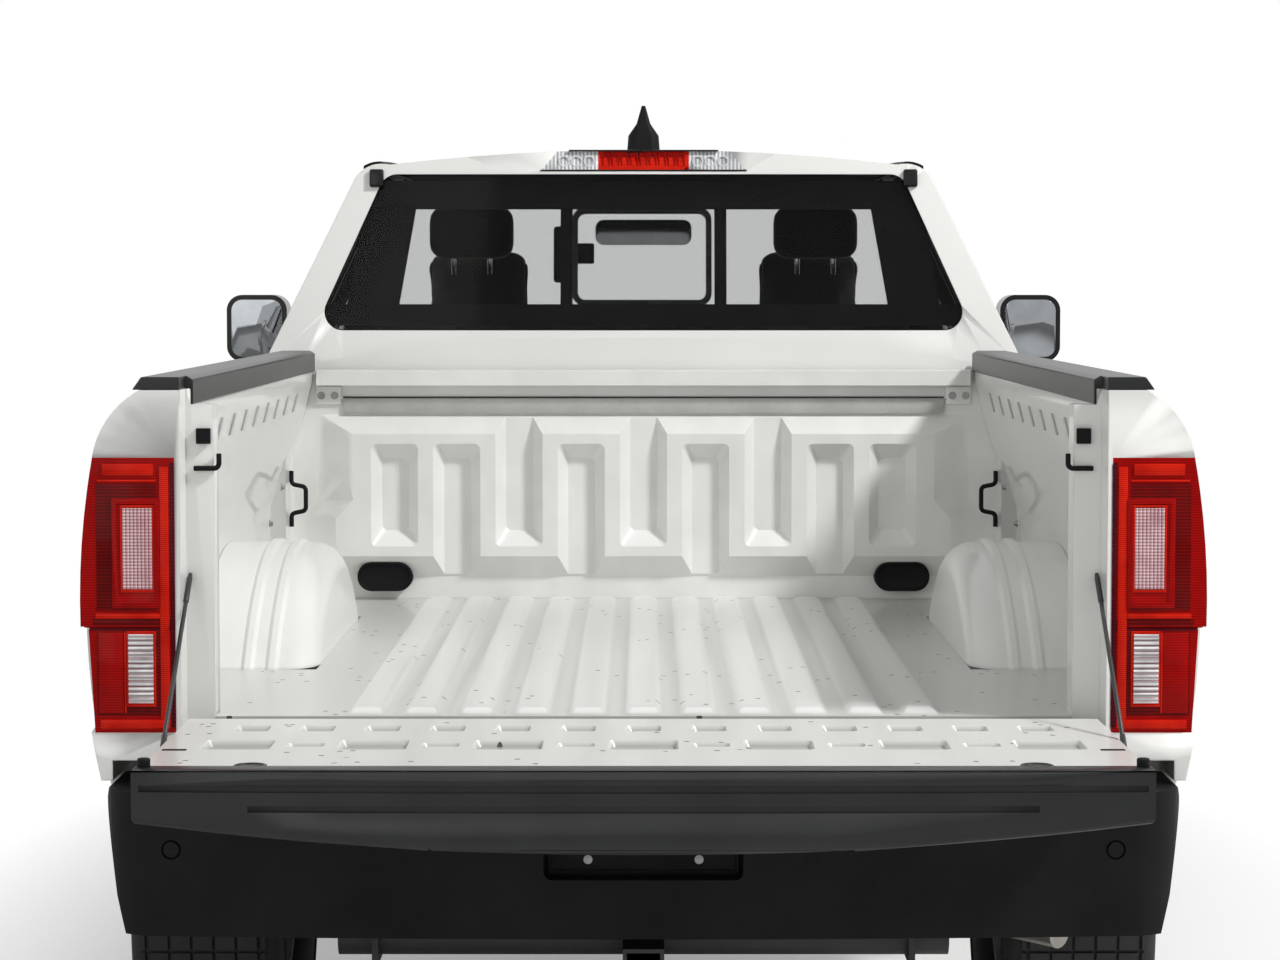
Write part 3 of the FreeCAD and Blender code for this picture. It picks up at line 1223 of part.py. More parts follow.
def rim(x, y, side):
    """Wheel rim with spokes, a hub and its bearing bore."""
    seat = RIM_WIDTH / 2
    inner = BEAD_RADIUS - RIM_WALL
    barrel = spun([(x - seat, inner), (x + seat, inner), (x + seat, BEAD_RADIUS), (x - seat, BEAD_RADIUS)],
                  (y, AXLE_Z))
    face_x = x + side * WHEEL_OFFSET
    disc = rod((face_x, y, AXLE_Z), (face_x + side * WHEEL_DISC, y, AXLE_Z), inner + 2.0)
    windows = []
    for index in range(SPOKE_COUNT):
        windows.append(spoke_window(face_x, y, side, 360.0 / SPOKE_COUNT * index))
    hub = rod((face_x - side * HUB_LENGTH, y, AXLE_Z), (face_x + side * 28.0, y, AXLE_Z), HUB_RADIUS)
    bore = rod((face_x - side * (HUB_LENGTH + 1.0), y, AXLE_Z), (face_x + side * 10.0, y, AXLE_Z),
               SPINDLE_RADIUS + SPINDLE_CLEARANCE)
    return join([barrel, disc.cut(windows), hub]).cut(bore).Solids[0]


def spoke_window(face_x, y, side, angle):
    """Opening between two spokes."""
    low = face_x - OVER * side
    high = face_x + side * (WHEEL_DISC + OVER)
    corners = [(-28.0, 100.0), (28.0, 100.0), (78.0, 186.0), (-78.0, 186.0)]
    place = [(y + p[0], AXLE_Z + p[1]) + tuple(p[2:]) for p in rounded(corners, 12.0)]
    window = along_x(place, min(low, high), max(low, high))
    window.rotate(Vector(0, y, AXLE_Z), Vector(1, 0, 0), angle)
    return window


def knuckle():
    """Left steering knuckle with its spindle."""
    x = KINGPIN_X
    face_x = WHEEL_X + WHEEL_OFFSET
    upright = block((x - 24.0, -34.0, AXLE_Z - BALL_HEIGHT), (x + 24.0, 34.0, AXLE_Z + BALL_HEIGHT))
    reach = BALL_HEIGHT + GAP - SEAT_GAP
    studs = rod((x, 0, AXLE_Z - reach), (x, 0, AXLE_Z + reach), 11.0)
    boss = rod((x - 30.0, 0, AXLE_Z), (face_x - HUB_LENGTH - GAP, 0, AXLE_Z), 62.0)
    spindle = rod((x, 0, AXLE_Z), (face_x + SPINDLE_SEAT, 0, AXLE_Z), SPINDLE_RADIUS)
    return join([upright, boss, spindle, studs])


def front_suspension():
    """Lower and upper arms of both front wheels."""
    arms = []
    for level, tip_z in ((0, AXLE_Z - BALL_HEIGHT), (1, AXLE_Z + BALL_HEIGHT)):
        z0 = tip_z - GAP - ARM_THICK if level == 0 else tip_z + GAP
        inner_x = RAIL_FRONT_INNER + RAIL_WIDTH + SEAT_GAP
        spread = 190.0 if level == 0 else 120.0
        outline = [(inner_x, -spread), (inner_x + 40.0, -spread), (KINGPIN_X, -ARM_TIP_RADIUS),
                   (KINGPIN_X + ARM_TIP_RADIUS, 0, True), (KINGPIN_X, ARM_TIP_RADIUS),
                   (inner_x + 40.0, spread), (inner_x, spread)]
        hole = [(inner_x + 60.0, -spread * 0.55), (KINGPIN_X - 70.0, -18.0), (KINGPIN_X - 70.0, 18.0),
                (inner_x + 60.0, spread * 0.55)]
        arm = along_z(outline, z0, z0 + ARM_THICK)
        arms.append(arm.cut(along_z(hole, z0 - OVER, z0 + ARM_THICK + OVER)))
    return Part.makeCompound(arms + [mirrored(a) for a in arms])


def rear_axle():
    """Live rear axle with its final drive and spindles, turned as one form."""
    tube_end = WHEEL_X + WHEEL_OFFSET - HUB_LENGTH - GAP
    spindle_end = WHEEL_X + WHEEL_OFFSET + SPINDLE_SEAT
    casing_x = math.sqrt(AXLE_CASING_RADIUS ** 2 - AXLE_TUBE_RADIUS ** 2)
    half = [(spindle_end, 0), (spindle_end, SPINDLE_RADIUS), (tube_end, SPINDLE_RADIUS),
            (tube_end, AXLE_TUBE_RADIUS), (casing_x, AXLE_TUBE_RADIUS)]
    outline = half + [(0, AXLE_CASING_RADIUS, True)]
    outline += [(-x, r) for x, r in reversed(half)]
    pinion = rod((0, WHEELBASE - PINION_LENGTH, AXLE_Z), (0, WHEELBASE, AXLE_Z), PINION_RADIUS)
    return join([spun(outline, (WHEELBASE, AXLE_Z)), pinion])


def rail_outline():
    """Side outline of a frame rail, kicked up over the rear axle."""
    low = [(RAIL_FRONT_Y, RAIL_FRONT_Z), (150.0, RAIL_FRONT_Z), (390.0, RAIL_MID_Z),
           (2410.0, RAIL_MID_Z), (2850.0, RAIL_KICK_Z), (3550.0, RAIL_KICK_Z),
           (3900.0, RAIL_TAIL_Z), (RAIL_REAR_Y, RAIL_TAIL_Z)]
    high = [(y, z + RAIL_HEIGHT) for y, z in reversed(low)]
    return low + high


def rail():
    """Left frame rail, set closer in between the front wheels."""
    outer = RAIL_INNER + RAIL_WIDTH
    front_outer = RAIL_FRONT_INNER + RAIL_WIDTH
    plan = [(RAIL_FRONT_INNER, RAIL_FRONT_Y), (front_outer, RAIL_FRONT_Y), (front_outer, 420.0),
            (outer, 620.0), (outer, RAIL_REAR_Y), (RAIL_INNER, RAIL_REAR_Y), (RAIL_INNER, 620.0),
            (RAIL_FRONT_INNER, 420.0)]
    side = along_x(rail_outline(), RAIL_FRONT_INNER, outer)
    return side.common(along_z(plan, 0, BIG))


def frame_brackets():
    """Brackets on the left rail for the cab, bed, engine, arms and spare wheel."""
    outer = RAIL_INNER + RAIL_WIDTH
    sill_low = BED_FLOOR_Z - BED_SHEET - BED_SILL_HEIGHT
    brackets = []
    for y in (800.0, 1650.0, 2300.0):
        brackets.append(block((RAIL_INNER, y, RAIL_MID_Z + RAIL_HEIGHT - OVER),
                              (outer, y + 90.0, SILL_Z - SEAT_GAP)))
    for y in BED_SILL_STATIONS:
        brackets.append(block((RAIL_INNER + 10.0, y + 10.0, rail_low_z(y) + RAIL_HEIGHT / 2),
                              (outer - 10.0, y + BED_SILL_LENGTH - 10.0, sill_low - SEAT_GAP)))
    brackets.append(block((ENGINE_HALF + SEAT_GAP, -60.0, RAIL_FRONT_Z + 30.0),
                          (RAIL_FRONT_INNER + OVER, 20.0, RAIL_FRONT_Z + 90.0)))
    brackets.append(block((RAIL_FRONT_INNER, -70.0, SUBFRAME_LOW_Z),
                          (RAIL_FRONT_INNER + RAIL_WIDTH, 70.0, RAIL_FRONT_Z + OVER)))
    spare_top = SPARE_Z + TYRE_WIDTH / 2 + SEAT_GAP
    brackets.append(block((RAIL_INNER, SPARE_Y - 30.0, RAIL_TAIL_Z + 60.0),
                          (outer, SPARE_Y + 30.0, spare_top + 28.0)))
    return brackets


def rail_low_z(y):
    """Height of the rail's underside at a station."""
    low = rail_outline()[:8]
    for (y0, z0), (y1, z1) in zip(low, low[1:]):
        if y0 <= y <= y1:
            return z0 + (z1 - z0) * (y - y0) / (y1 - y0)
    return RAIL_TAIL_Z


def ladder_frame():
    """Two rails joined by cross members, with their brackets."""
    left = [rail()] + frame_brackets()
    right = [mirrored(piece) for piece in left]
    reach = RAIL_INNER + OVER
    front_reach = RAIL_FRONT_INNER + OVER
    spare_top = SPARE_Z + TYRE_WIDTH / 2 + SEAT_GAP
    members = [block((-front_reach, y, z), (front_reach, y + MEMBER_LENGTH, z + MEMBER_HEIGHT))
               for y, z in ((RAIL_FRONT_Y + 20.0, RAIL_FRONT_Z + 45.0), (-490.0, RAIL_FRONT_Z + 20.0))]
    members += [block((-reach, y, z), (reach, y + MEMBER_LENGTH, z + MEMBER_HEIGHT))
                for y, z in ((640.0, RAIL_MID_Z), (1440.0, RAIL_MID_Z), (2430.0, 475.0),
                             (RAIL_REAR_Y - 85.0, RAIL_TAIL_Z + 60.0))]
    members.append(block((-front_reach, -70.0, SUBFRAME_LOW_Z), (front_reach, 70.0, SUBFRAME_LOW_Z + 45.0)))
    members.append(block((-reach, SPARE_Y - 30.0, spare_top), (reach, SPARE_Y + 30.0, spare_top + 28.0)))
    return join(left + right + members).Solids[0]


def leaf_spring():
    """Left leaf spring, seated on the axle and hung from the rail."""
    x0 = RAIL_INNER + RAIL_WIDTH + 12.0
    x1 = x0 + 62.0
    span = 620.0
    low = AXLE_Z + 45.0 + SEAT_GAP
    rise = 80.0
    y = WHEELBASE
    thick = 34.0
    outline = [(y - span, low + rise), (y, low, True), (y + span, low + rise),
               (y + span, low + rise + thick), (y, low + thick, True), (y - span, low + rise + thick)]
    spring = along_x(outline, x0, x1)
    hangers = []
    for end in (y - span, y + span):
        hangers.append(block((RAIL_INNER + RAIL_WIDTH, end - 24.0, low + rise - 6.0),
                             (x1 + 8.0, end + 24.0, RAIL_TAIL_Z + 90.0)))
    return join([spring] + hangers).Solids[0]


def rear_suspension():
    """Leaf springs on both sides."""
    return pair(leaf_spring())


def engine_block():
    """The engine as one plain block at its place."""
    return block((-ENGINE_HALF, ENGINE_FRONT_Y, ENGINE_LOW_Z), (ENGINE_HALF, ENGINE_REAR_Y, ENGINE_HIGH_Z))


def driveline():
    """Gearbox under the cab floor and propeller shaft to the rear axle."""
    box = block((-150.0, ENGINE_REAR_Y, GEARBOX_LOW_Z), (150.0, GEARBOX_REAR_Y, SILL_Z - 10.0))
    shaft = rod((0, GEARBOX_REAR_Y - OVER, 405.0), (0, WHEELBASE - PINION_LENGTH - 2.0, AXLE_Z + 4.0), 36.0)
    return join([box, shaft]).Solids[0]


def fuel_tank():
    """Tank inside the left rail."""
    tank = block((120.0, 1560.0, 330.0), (RAIL_INNER - SEAT_GAP, 2380.0, SILL_Z - 12.0))
    return tank.makeFillet(24.0, [tank.Edges[0], tank.Edges[2], tank.Edges[8], tank.Edges[10]])


def exhaust():
    """Exhaust pipe and silencer inside the right rail."""
    pipe = bent_tube([(-220.0, ENGINE_REAR_Y + 2.0, 430.0), (-225.0, 900.0, 400.0), (-285.0, 2560.0, 400.0),
                      (-300.0, 2900.0, 640.0), (-300.0, 3450.0, 600.0), (-500.0, 3760.0, 440.0),
                      (-690.0, 3950.0, 430.0)], 26.0, 90.0)
    silencer = rod((-258.0, 1800.0, 400.0), (-276.0, 2330.0, 400.0), 58.0)
    return join([pipe, silencer])


def spare_wheel():
    """Spare tyre and rim lying under the bed floor."""
    lying = Part.makeCompound([tyre(0, 0), rim(0, 0, 1)])
    lying.rotate(Vector(0, 0, AXLE_Z), Vector(0, 1, 0), 90)
    lying.translate(Vector(0, SPARE_Y, SPARE_Z - AXLE_Z))
    return lying


def tow_hitch():
    """Square receiver on a cross tube under the bumper."""
    outer = HITCH_INNER / 2 + HITCH_WALL
    receiver = block((-outer, HITCH_REAR_Y - HITCH_LENGTH, HITCH_Z - outer), (outer, HITCH_REAR_Y, HITCH_Z + outer))
    half = HITCH_INNER / 2
    bore = block((-half, HITCH_REAR_Y - HITCH_LENGTH + 20.0, HITCH_Z - half), (half, HITCH_REAR_Y + 1.0, HITCH_Z + half))
    tube = rod((-RAIL_INNER - RAIL_WIDTH, HITCH_REAR_Y - HITCH_LENGTH + 40.0, HITCH_Z + 10.0),
               (RAIL_INNER + RAIL_WIDTH, HITCH_REAR_Y - HITCH_LENGTH + 40.0, HITCH_Z + 10.0), 32.0)
    pin_y = HITCH_REAR_Y - 76.0
    pin = rod((-outer - 1.0, pin_y, HITCH_Z), (outer + 1.0, pin_y, HITCH_Z), HITCH_PIN_RADIUS)
    plates = [block((side * (RAIL_INNER + 20.0) - 5.0, HITCH_REAR_Y - HITCH_LENGTH, HITCH_Z - 30.0),
                    (side * (RAIL_INNER + 20.0) + 5.0, HITCH_REAR_Y - HITCH_LENGTH + 90.0, RAIL_TAIL_Z))
              for side in (1, -1)]
    body = join([receiver, tube] + plates)
    return body.cut([bore, pin]).Solids[0]


# Interior
def front_seat():
    """Left front seat: cushion, back with narrow shoulders, and head restraint."""
    floor = SILL_Z + FLOOR_WALL
    x = SEAT_X
    y = SEAT_Y
    top = SEAT_CUSHION_Z
    cushion = along_x([(y - 250.0, top - 190.0), (y + 250.0, top - 190.0), (y + 250.0, top - 10.0),
                       (y, top - 30.0, True), (y - 270.0, top + 10.0)], x - SEAT_HALF, x + SEAT_HALF)
    feet = block((x - SEAT_HALF + 40.0, y - 200.0, floor), (x + SEAT_HALF - 40.0, y + 200.0, top - 190.0))
    back_side_view = along_x([(y + 150.0, top - 60.0), (y + 270.0, top - 90.0), (y + 440.0, SEAT_BACK_Z),
                              (y + 345.0, SEAT_BACK_Z)], x - SEAT_HALF, x + SEAT_HALF)
    wide = SEAT_HALF
    narrow = SEAT_SHOULDER_HALF
    outline = [(x - wide, top - 90.0), (x + wide, top - 90.0), (x + wide, SEAT_WAIST_Z), (x + narrow, SEAT_BACK_Z),
               (x - narrow, SEAT_BACK_Z), (x - wide, SEAT_WAIST_Z)]
    back = back_side_view.common(along_y(rounded(outline, 40.0), y, y + 600.0))
    posts = [rod((x + offset, y + 395.0, SEAT_BACK_Z - OVER), (x + offset, y + 400.0, SEAT_BACK_Z + OVER), 7.0)
             for offset in (-45.0, 45.0)]
    low = SEAT_BACK_Z - 60.0
    head = along_x([(y + 350.0, low), (y + 440.0, low), (y + 450.0, HEAD_TOP_Z - 20.0), (y + 425.0, HEAD_TOP_Z, True),
                    (y + 380.0, HEAD_TOP_Z)], x - HEAD_HALF, x + HEAD_HALF)
    return join([cushion, feet, back, head] + posts)


def rear_seat():
    """Upright rear bench under the rear window."""
    floor = SILL_Z + FLOOR_WALL
    rear = CAB_BACK_Y - BACK_WALL - BACK_BOW - SEAT_GAP
    base = along_x([(rear - 330.0, floor), (rear, floor), (rear, floor + 220.0), (rear - 350.0, floor + 240.0)],
                   -600.0, 600.0)
    back = along_x([(rear - 110.0, floor + 200.0), (rear, floor + 200.0), (rear, BACK_BASE_Z - OVER),
                    (rear - 45.0, REAR_SEAT_TOP_Z), (rear - 95.0, REAR_SEAT_TOP_Z)], -620.0, 620.0)
    return join([base, back])


def seats():
    """Two front seats and the rear bench."""
    front = front_seat()
    return Part.makeCompound([front, mirrored(front), rear_seat()])


def dashboard():
    """Dashboard with its centre console."""
    floor = SILL_Z + FLOOR_WALL
    half = WING_INNER - OVER - FOOTWELL_WALL - SEAT_GAP
    dash = along_x([(CAB_FRONT_Y + FIREWALL, 850.0), (860.0, 850.0), (920.0, 980.0), (900.0, 1130.0),
                    (740.0, 1195.0), (CAB_FRONT_Y + FIREWALL, 1195.0)], -half, half)
    console = block((-110.0, 700.0, floor), (110.0, 1150.0, 852.0))
    cabin = cab_form(DOOR_WALL + 12.0, PILLAR_WALL + 12.0, ROOF_WALL, SILL_Z,
                     FIREWALL + SEAT_GAP, BACK_WALL)
    return join([dash.common(cabin), console]).cut(column_rod(0.0)).Solids[0]


def column_rod(shorter):
    """Steering column, from inside the dashboard to the wheel."""
    x, y, z = STEERING_CENTRE
    reach = Vector(*STEERING_NORMAL).normalize() * (COLUMN_LENGTH - shorter)
    return rod((x - reach.x, y - reach.y, z - reach.z), STEERING_CENTRE, COLUMN_RADIUS)


def steering_wheel():
    """Steering wheel with three spokes on its column."""
    centre = Vector(*STEERING_CENTRE)
    normal = Vector(*STEERING_NORMAL)
    ring = Part.makeTorus(STEERING_RADIUS, STEERING_GRIP, centre, normal)
    pad = rod(STEERING_CENTRE, tuple(centre + normal.normalize() * STEERING_GRIP), COLUMN_RADIUS * 1.9)
    spokes = []
    for angle in (0.0, 120.0, 240.0):
        spoke = block((-STEERING_RADIUS, -18.0, -7.0), (0, 18.0, 7.0))
        spoke.rotate(Vector(0, 0, 0), Vector(0, 0, 1), angle + 270.0)
        spokes.append(spoke)
    tilt = FreeCAD.Rotation(Vector(0, 0, 1), normal)
    for spoke in spokes:
        spoke.Placement = FreeCAD.Placement(centre, tilt).multiply(spoke.Placement)
    column = column_rod(SEAT_GAP)
    return join([ring, pad, column] + spokes)


def door_mirror():
    """Left door mirror on its arm."""
    front = along_y(rounded([(925.0, 1302.0), (MIRROR_HALF, 1302.0), (MIRROR_HALF, 1475.0), (925.0, 1475.0)],
                            40.0), 780.0, 905.0)
    head = front.common(along_z([(925.0, 800.0), (1040.0, 830.0), (1070.0, 862.0, True), (MIRROR_HALF, 905.0),
                                 (925.0, 905.0)], 0, BIG))
    arm = block((side_x(1250.0) - 4.0, 830.0, 1240.0), (960.0, 880.0, 1330.0))
    return join([head, arm])


def brake_lamp_room():
    """Space of the high brake lamp above the rear window."""
    outline = both([(HIGH_LAMP_LOW_HALF, HIGH_LAMP_LOW_Z), (HIGH_LAMP_HIGH_HALF, ROOF_Z + OVER)])
    return along_y(outline, CAB_BACK_Y - 100.0, CAB_BACK_Y + OVER)


def high_brake_lamp(walls):
    """Brake lamp above the rear window."""
    return walls.common(brake_lamp_room()).Solids[0]


def roof_moulding():
    """Left moulding over the roof's side seam."""
    grown = cab_loft(0, -MOULDING_PROUD, -MOULDING_PROUD, SILL_Z)
    strip = grown.cut(cab_loft(0, 0, 0, SILL_Z))
    strip = strip.common(block((MOULDING_INNER, 0, CANT_Z), (MOULDING_OUTER, BIG, BIG)))
    return strip.common(screen_side(GAP)).common(back_side(GAP)).Solids[0]


def antenna():
    """Fin antenna on the rear of the roof."""
    roof = ROOF_Z - ROOF_REAR_DROP
    wires = []
    for z, half, front, rear in ((roof - 4.0, 36.0, -90.0, 70.0), (roof + 36.0, 33.0, -78.0, 66.0),
                                 (roof + 62.0, 15.0, -40.0, 60.0), (ANTENNA_TOP_Z, 4.0, 26.0, 50.0)):
        corners = [(-half, ANTENNA_Y + front), (half, ANTENNA_Y + front), (half, ANTENNA_Y + rear),
                   (-half, ANTENNA_Y + rear)]
        wires.append(wire(rounded(corners, half * 0.6), lambda u, v, z=z: Vector(u, v, z)))
    fin = Part.makeLoft(wires, True, True)
    return fin.cut(cab_loft(0, 0, 0, SILL_Z)).Solids[0]


def cowl():
    """Panel between the hood's rear edge and the windscreen."""
    half = WING_INNER - OVER - SEAT_GAP
    rear = CAB_FRONT_Y - SEAT_GAP
    return along_x([(HOOD_REAR_Y + GAP, COWL_LOW_Z), (rear, COWL_LOW_Z), (rear, COWL_TOP_Z),
                    (HOOD_REAR_Y + GAP, COWL_TOP_Z - OVER)], -half, half)


def body_trim():
    """Roof mouldings, antenna and cowl panel."""
    moulding = roof_moulding()
    return Part.makeCompound([moulding, mirrored(moulding), antenna(), cowl()])


def bed_hook():
    """Left tie-down hook on the front corner post."""
    x = CORNER_POST_INNER - HOOK_RADIUS - SEAT_GAP
    y = BED_FRONT_Y + CORNER_POST_LENGTH / 2
    tab = 28.0
    slope = 6.0
    return bent_tube([(x, y, HOOK_TOP_Z), (x, y, HOOK_TOP_Z - tab), (x - HOOK_REACH, y, HOOK_TOP_Z - tab - slope),
                      (x - HOOK_REACH, y, HOOK_LOW_Z + tab + slope), (x, y, HOOK_LOW_Z + tab), (x, y, HOOK_LOW_Z)],
                     HOOK_RADIUS, HOOK_RADIUS * 2)


def striker():
    """Left tailgate striker, a rod turned up at its end."""
    y = GATE_ROOM_Y + STRIKER_RADIUS + SEAT_GAP
    return bent_tube([(POST_INNER + 30.0, y, STRIKER_Z), (STRIKER_END_X, y, STRIKER_Z),
                      (STRIKER_END_X, y, STRIKER_Z + 23.0)], STRIKER_RADIUS, STRIKER_RADIUS * 2)


def bump_stop():
    """Left rubber stop above the striker."""
    return block((POST_INNER + 4.0, GATE_ROOM_Y + SEAT_GAP, STRIKER_Z + 38.0),
                 (POST_INNER + 26.0, GATE_ROOM_Y + 8.0, STRIKER_Z + 62.0))


def bed_hardware():
    """Tie-down hooks, strikers, rubber stops and wall pockets on both sides."""
    pieces = []
    for piece in (bed_hook(), striker(), bump_stop()):
        pieces += [piece, mirrored(piece)]
    for side in (1, -1):
        pieces.append(pocket_form(side, 0.0, 0.0).cut(pocket_form(side, 0.0, GAP)))
    return Part.makeCompound(pieces)


def interior_mirror():
    """Inside mirror hung from the windscreen."""
    half = 122.0
    rise = 32.0
    y = MIRROR_GLASS_Y
    z = MIRROR_GLASS_Z
    shell = along_y(rounded([(-half, z - rise), (half, z - rise), (half, z + rise), (-half, z + rise)], 22.0), y,
                    y + 22.0)
    stalk = rod((0, y + 4.0, z + 6.0), (0, y - 90.0, z + 60.0), 9.0)
    inside = screen_side(GLASS_INSET + GLASS_THICK + SEAT_GAP)
    return join([shell, stalk.common(inside)]).Solids[0]


# Export
def place(name, shape):
    """Move a finished piece to the part's origin and write it."""
    moved = shape.copy()
    moved.translate(Vector(0, -ORIGIN_Y, 0))
    moved.exportStep("parts/" + name + ".step")


def build():
    """Every node of the truck by name."""
    walls = cab_walls()
    door_band = side_wall()
    front = front_form(0)
    bed = bed_form()
    door = front_door(door_band)
    half_door = rear_door(door_band)
    glass = side_glass(front_window())
    half_glass = side_glass(rear_side_window())
    mirror = door_mirror().cut(walls)
    mirror = max(mirror.Solids, key=lambda s: s.Volume)
    side = bedside(bed)
    pieces = {
        "ladder_frame": ladder_frame(),
        "rear_axle": rear_axle(),
        "rear_suspension": rear_suspension(),
        "front_suspension": front_suspension(),
        "engine_block": engine_block(),
        "driveline": driveline(),
        "fuel_tank": fuel_tank(),
        "exhaust": exhaust(),
        "spare_wheel": spare_wheel(),
        "tow_hitch": tow_hitch(),
        "cab_shell": cab_shell(walls, door_band),
        "windscreen": windscreen(),
        "high_brake_lamp": high_brake_lamp(walls),
        "rear_window": rear_window(),
        "front_wings": pair(front_wing(front)),
        "front_bumper": front_bumper(front),
        "grille": grille(),
        "headlamps": pair(headlamp(front)),
        "bed_floor": bed_floor(),
        "bed_front_wall": bed_front_wall(),
        "bedside_left": side,
        "bedside_right": mirrored(side),
        "wheelhouses": pair(wheelhouse()),
        "rail_caps": pair(rail_cap()),
        "tail_lamps": pair(tail_lamp(bed)),
        "rear_bumper": rear_bumper(),
        "dashboard": dashboard(),
        "steering_wheel": steering_wheel(),
        "seats": seats(),
        "body_trim": body_trim(),
        "bed_hardware": bed_hardware(),
        "interior_mirror": interior_mirror(),
        "tailgate_cables": pair(tailgate_cable()),
        "tailgate_panel": tailgate_panel(),
        "tailgate_cap": tailgate_cap(),
        "hood": hood(front),
        "front_door_left": door,
        "front_door_right": mirrored(door),
        "front_glass_left": glass,
        "front_glass_right": mirrored(glass),
        "mirror_left": mirror,
        "mirror_right": mirrored(mirror),
        "rear_door_left": half_door,
        "rear_door_right": mirrored(half_door),
        "rear_glass_left": half_glass,
        "rear_glass_right": mirrored(half_glass),
        "knuckle_left": knuckle(),
        "knuckle_right": mirrored(knuckle()),
    }
    for end, y in (("front", 0.0), ("rear", WHEELBASE)):
        for name, side_sign in (("left", 1), ("right", -1)):
            pieces[end + "_tyre_" + name] = tyre(side_sign * WHEEL_X, y)
            pieces[end + "_rim_" + name] = rim(side_sign * WHEEL_X, y, side_sign)
    return pieces


os.makedirs("parts", exist_ok=True)
for node, piece in build().items():
    place(node, piece)
    print(node, piece.ShapeType, len(piece.Solids), piece.isValid(), round(piece.Volume / 1e6, 2))
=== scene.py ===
from contextlib import contextmanager
import json
import math

import bpy
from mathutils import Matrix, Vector

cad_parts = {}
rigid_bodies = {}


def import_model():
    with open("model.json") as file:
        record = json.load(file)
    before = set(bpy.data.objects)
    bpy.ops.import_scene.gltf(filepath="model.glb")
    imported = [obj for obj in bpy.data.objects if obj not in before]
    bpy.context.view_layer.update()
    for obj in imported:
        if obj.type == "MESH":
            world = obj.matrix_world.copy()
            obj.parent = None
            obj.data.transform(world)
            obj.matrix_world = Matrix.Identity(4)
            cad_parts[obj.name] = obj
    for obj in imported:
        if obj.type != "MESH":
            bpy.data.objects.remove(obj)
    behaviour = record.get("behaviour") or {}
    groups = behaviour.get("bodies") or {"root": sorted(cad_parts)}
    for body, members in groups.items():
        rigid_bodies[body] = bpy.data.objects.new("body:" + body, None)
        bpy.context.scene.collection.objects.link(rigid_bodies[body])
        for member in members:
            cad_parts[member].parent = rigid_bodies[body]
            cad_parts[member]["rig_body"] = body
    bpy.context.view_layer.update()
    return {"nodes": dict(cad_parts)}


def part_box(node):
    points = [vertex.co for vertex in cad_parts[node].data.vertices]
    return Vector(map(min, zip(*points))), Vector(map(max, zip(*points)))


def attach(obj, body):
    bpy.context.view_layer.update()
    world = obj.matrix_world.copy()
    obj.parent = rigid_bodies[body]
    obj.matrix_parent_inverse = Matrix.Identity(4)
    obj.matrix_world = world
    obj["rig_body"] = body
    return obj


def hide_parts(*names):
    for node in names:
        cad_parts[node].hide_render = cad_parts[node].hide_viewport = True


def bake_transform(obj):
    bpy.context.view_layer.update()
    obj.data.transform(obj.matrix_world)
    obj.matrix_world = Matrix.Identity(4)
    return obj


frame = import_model()

MM = 0.001
SIDES = (("left", 1), ("right", -1))

# Places on the frame that the pieces are worked out from
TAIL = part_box("tail_lamps")[1][1]
TAIL_Y = 4328.0
WHEELBASE = 3221.0
AXLE_Z = 388.0
WHEEL_X = 780.0
ARCH_RADIUS = 460.0
ARCH_Z = AXLE_Z + 12.0

# Camera of the photograph, on the truck's middle, behind the open tailgate
PHOTO_WIDTH = 1280
PHOTO_CENTRE_SHIFT = 3.5
CAMERA_BEHIND_TAIL = 4850.0
CAMERA_HEIGHT = 1506.0
CAMERA_PITCH = 3.54
CAMERA_LENS = 89.6


def at(x, y, z):
    """Blender's place of a point given in truck millimetres."""
    return Vector((x * MM, TAIL + (y - TAIL_Y) * MM, z * MM))


def spot(place):
    """Truck millimetres of a place in Blender."""
    return Vector((place.x / MM, (place.y - TAIL) / MM + TAIL_Y, place.z / MM))


# Shader nodes
def linear(code):
    """An sRGB hex colour as linear red, green, blue and alpha."""
    values = []
    for start in (0, 2, 4):
        share = int(code[start:start + 2], 16) / 255
        values.append(share / 12.92 if share <= 0.04045 else ((share + 0.055) / 1.055) ** 2.4)
    return (*values, 1.0)


def feed(tree, socket, value):
    """Links another node's output to a socket, or gives the socket that value."""
    if isinstance(value, bpy.types.NodeSocket):
        tree.links.new(value, socket)
    else:
        socket.default_value = value


def add(tree, kind, **settings):
    """Adds a node. Each setting is one of its properties or, with _ for a space, one of its sockets."""
    made = tree.nodes.new(kind)
    for name, value in settings.items():
        if hasattr(made, name):
            setattr(made, name, value)
        else:
            feed(tree, made.inputs[name.replace("_", " ")], value)
    return made


def maths(tree, operation, first, second):
    """The result of a Math node."""
    made = add(tree, "ShaderNodeMath", operation=operation)
    feed(tree, made.inputs[0], first)
    feed(tree, made.inputs[1], second)
    return made.outputs["Value"]


def mixed(tree, share, first, second):
    """Two colours mixed, with that share of the second."""
    made = add(tree, "ShaderNodeMix", data_type="RGBA")
    for socket, value in ((0, share), (6, first), (7, second)):
        feed(tree, made.inputs[socket], value)
    return made.outputs[2]


def ramp(tree, source, stops):
    """A colour ramp through (place, hex colour) stops."""
    made = add(tree, "ShaderNodeValToRGB", Fac=source)
    band = made.color_ramp
    while len(band.elements) < len(stops):
        band.elements.new(0.5)
    for element, (place, code) in zip(band.elements, stops):
        element.position = place
        element.color = linear(code)
    return made.outputs["Color"]


# A wave texture of scale 1 has its bands this far apart, in metres.
WAVE_PITCH = 0.314


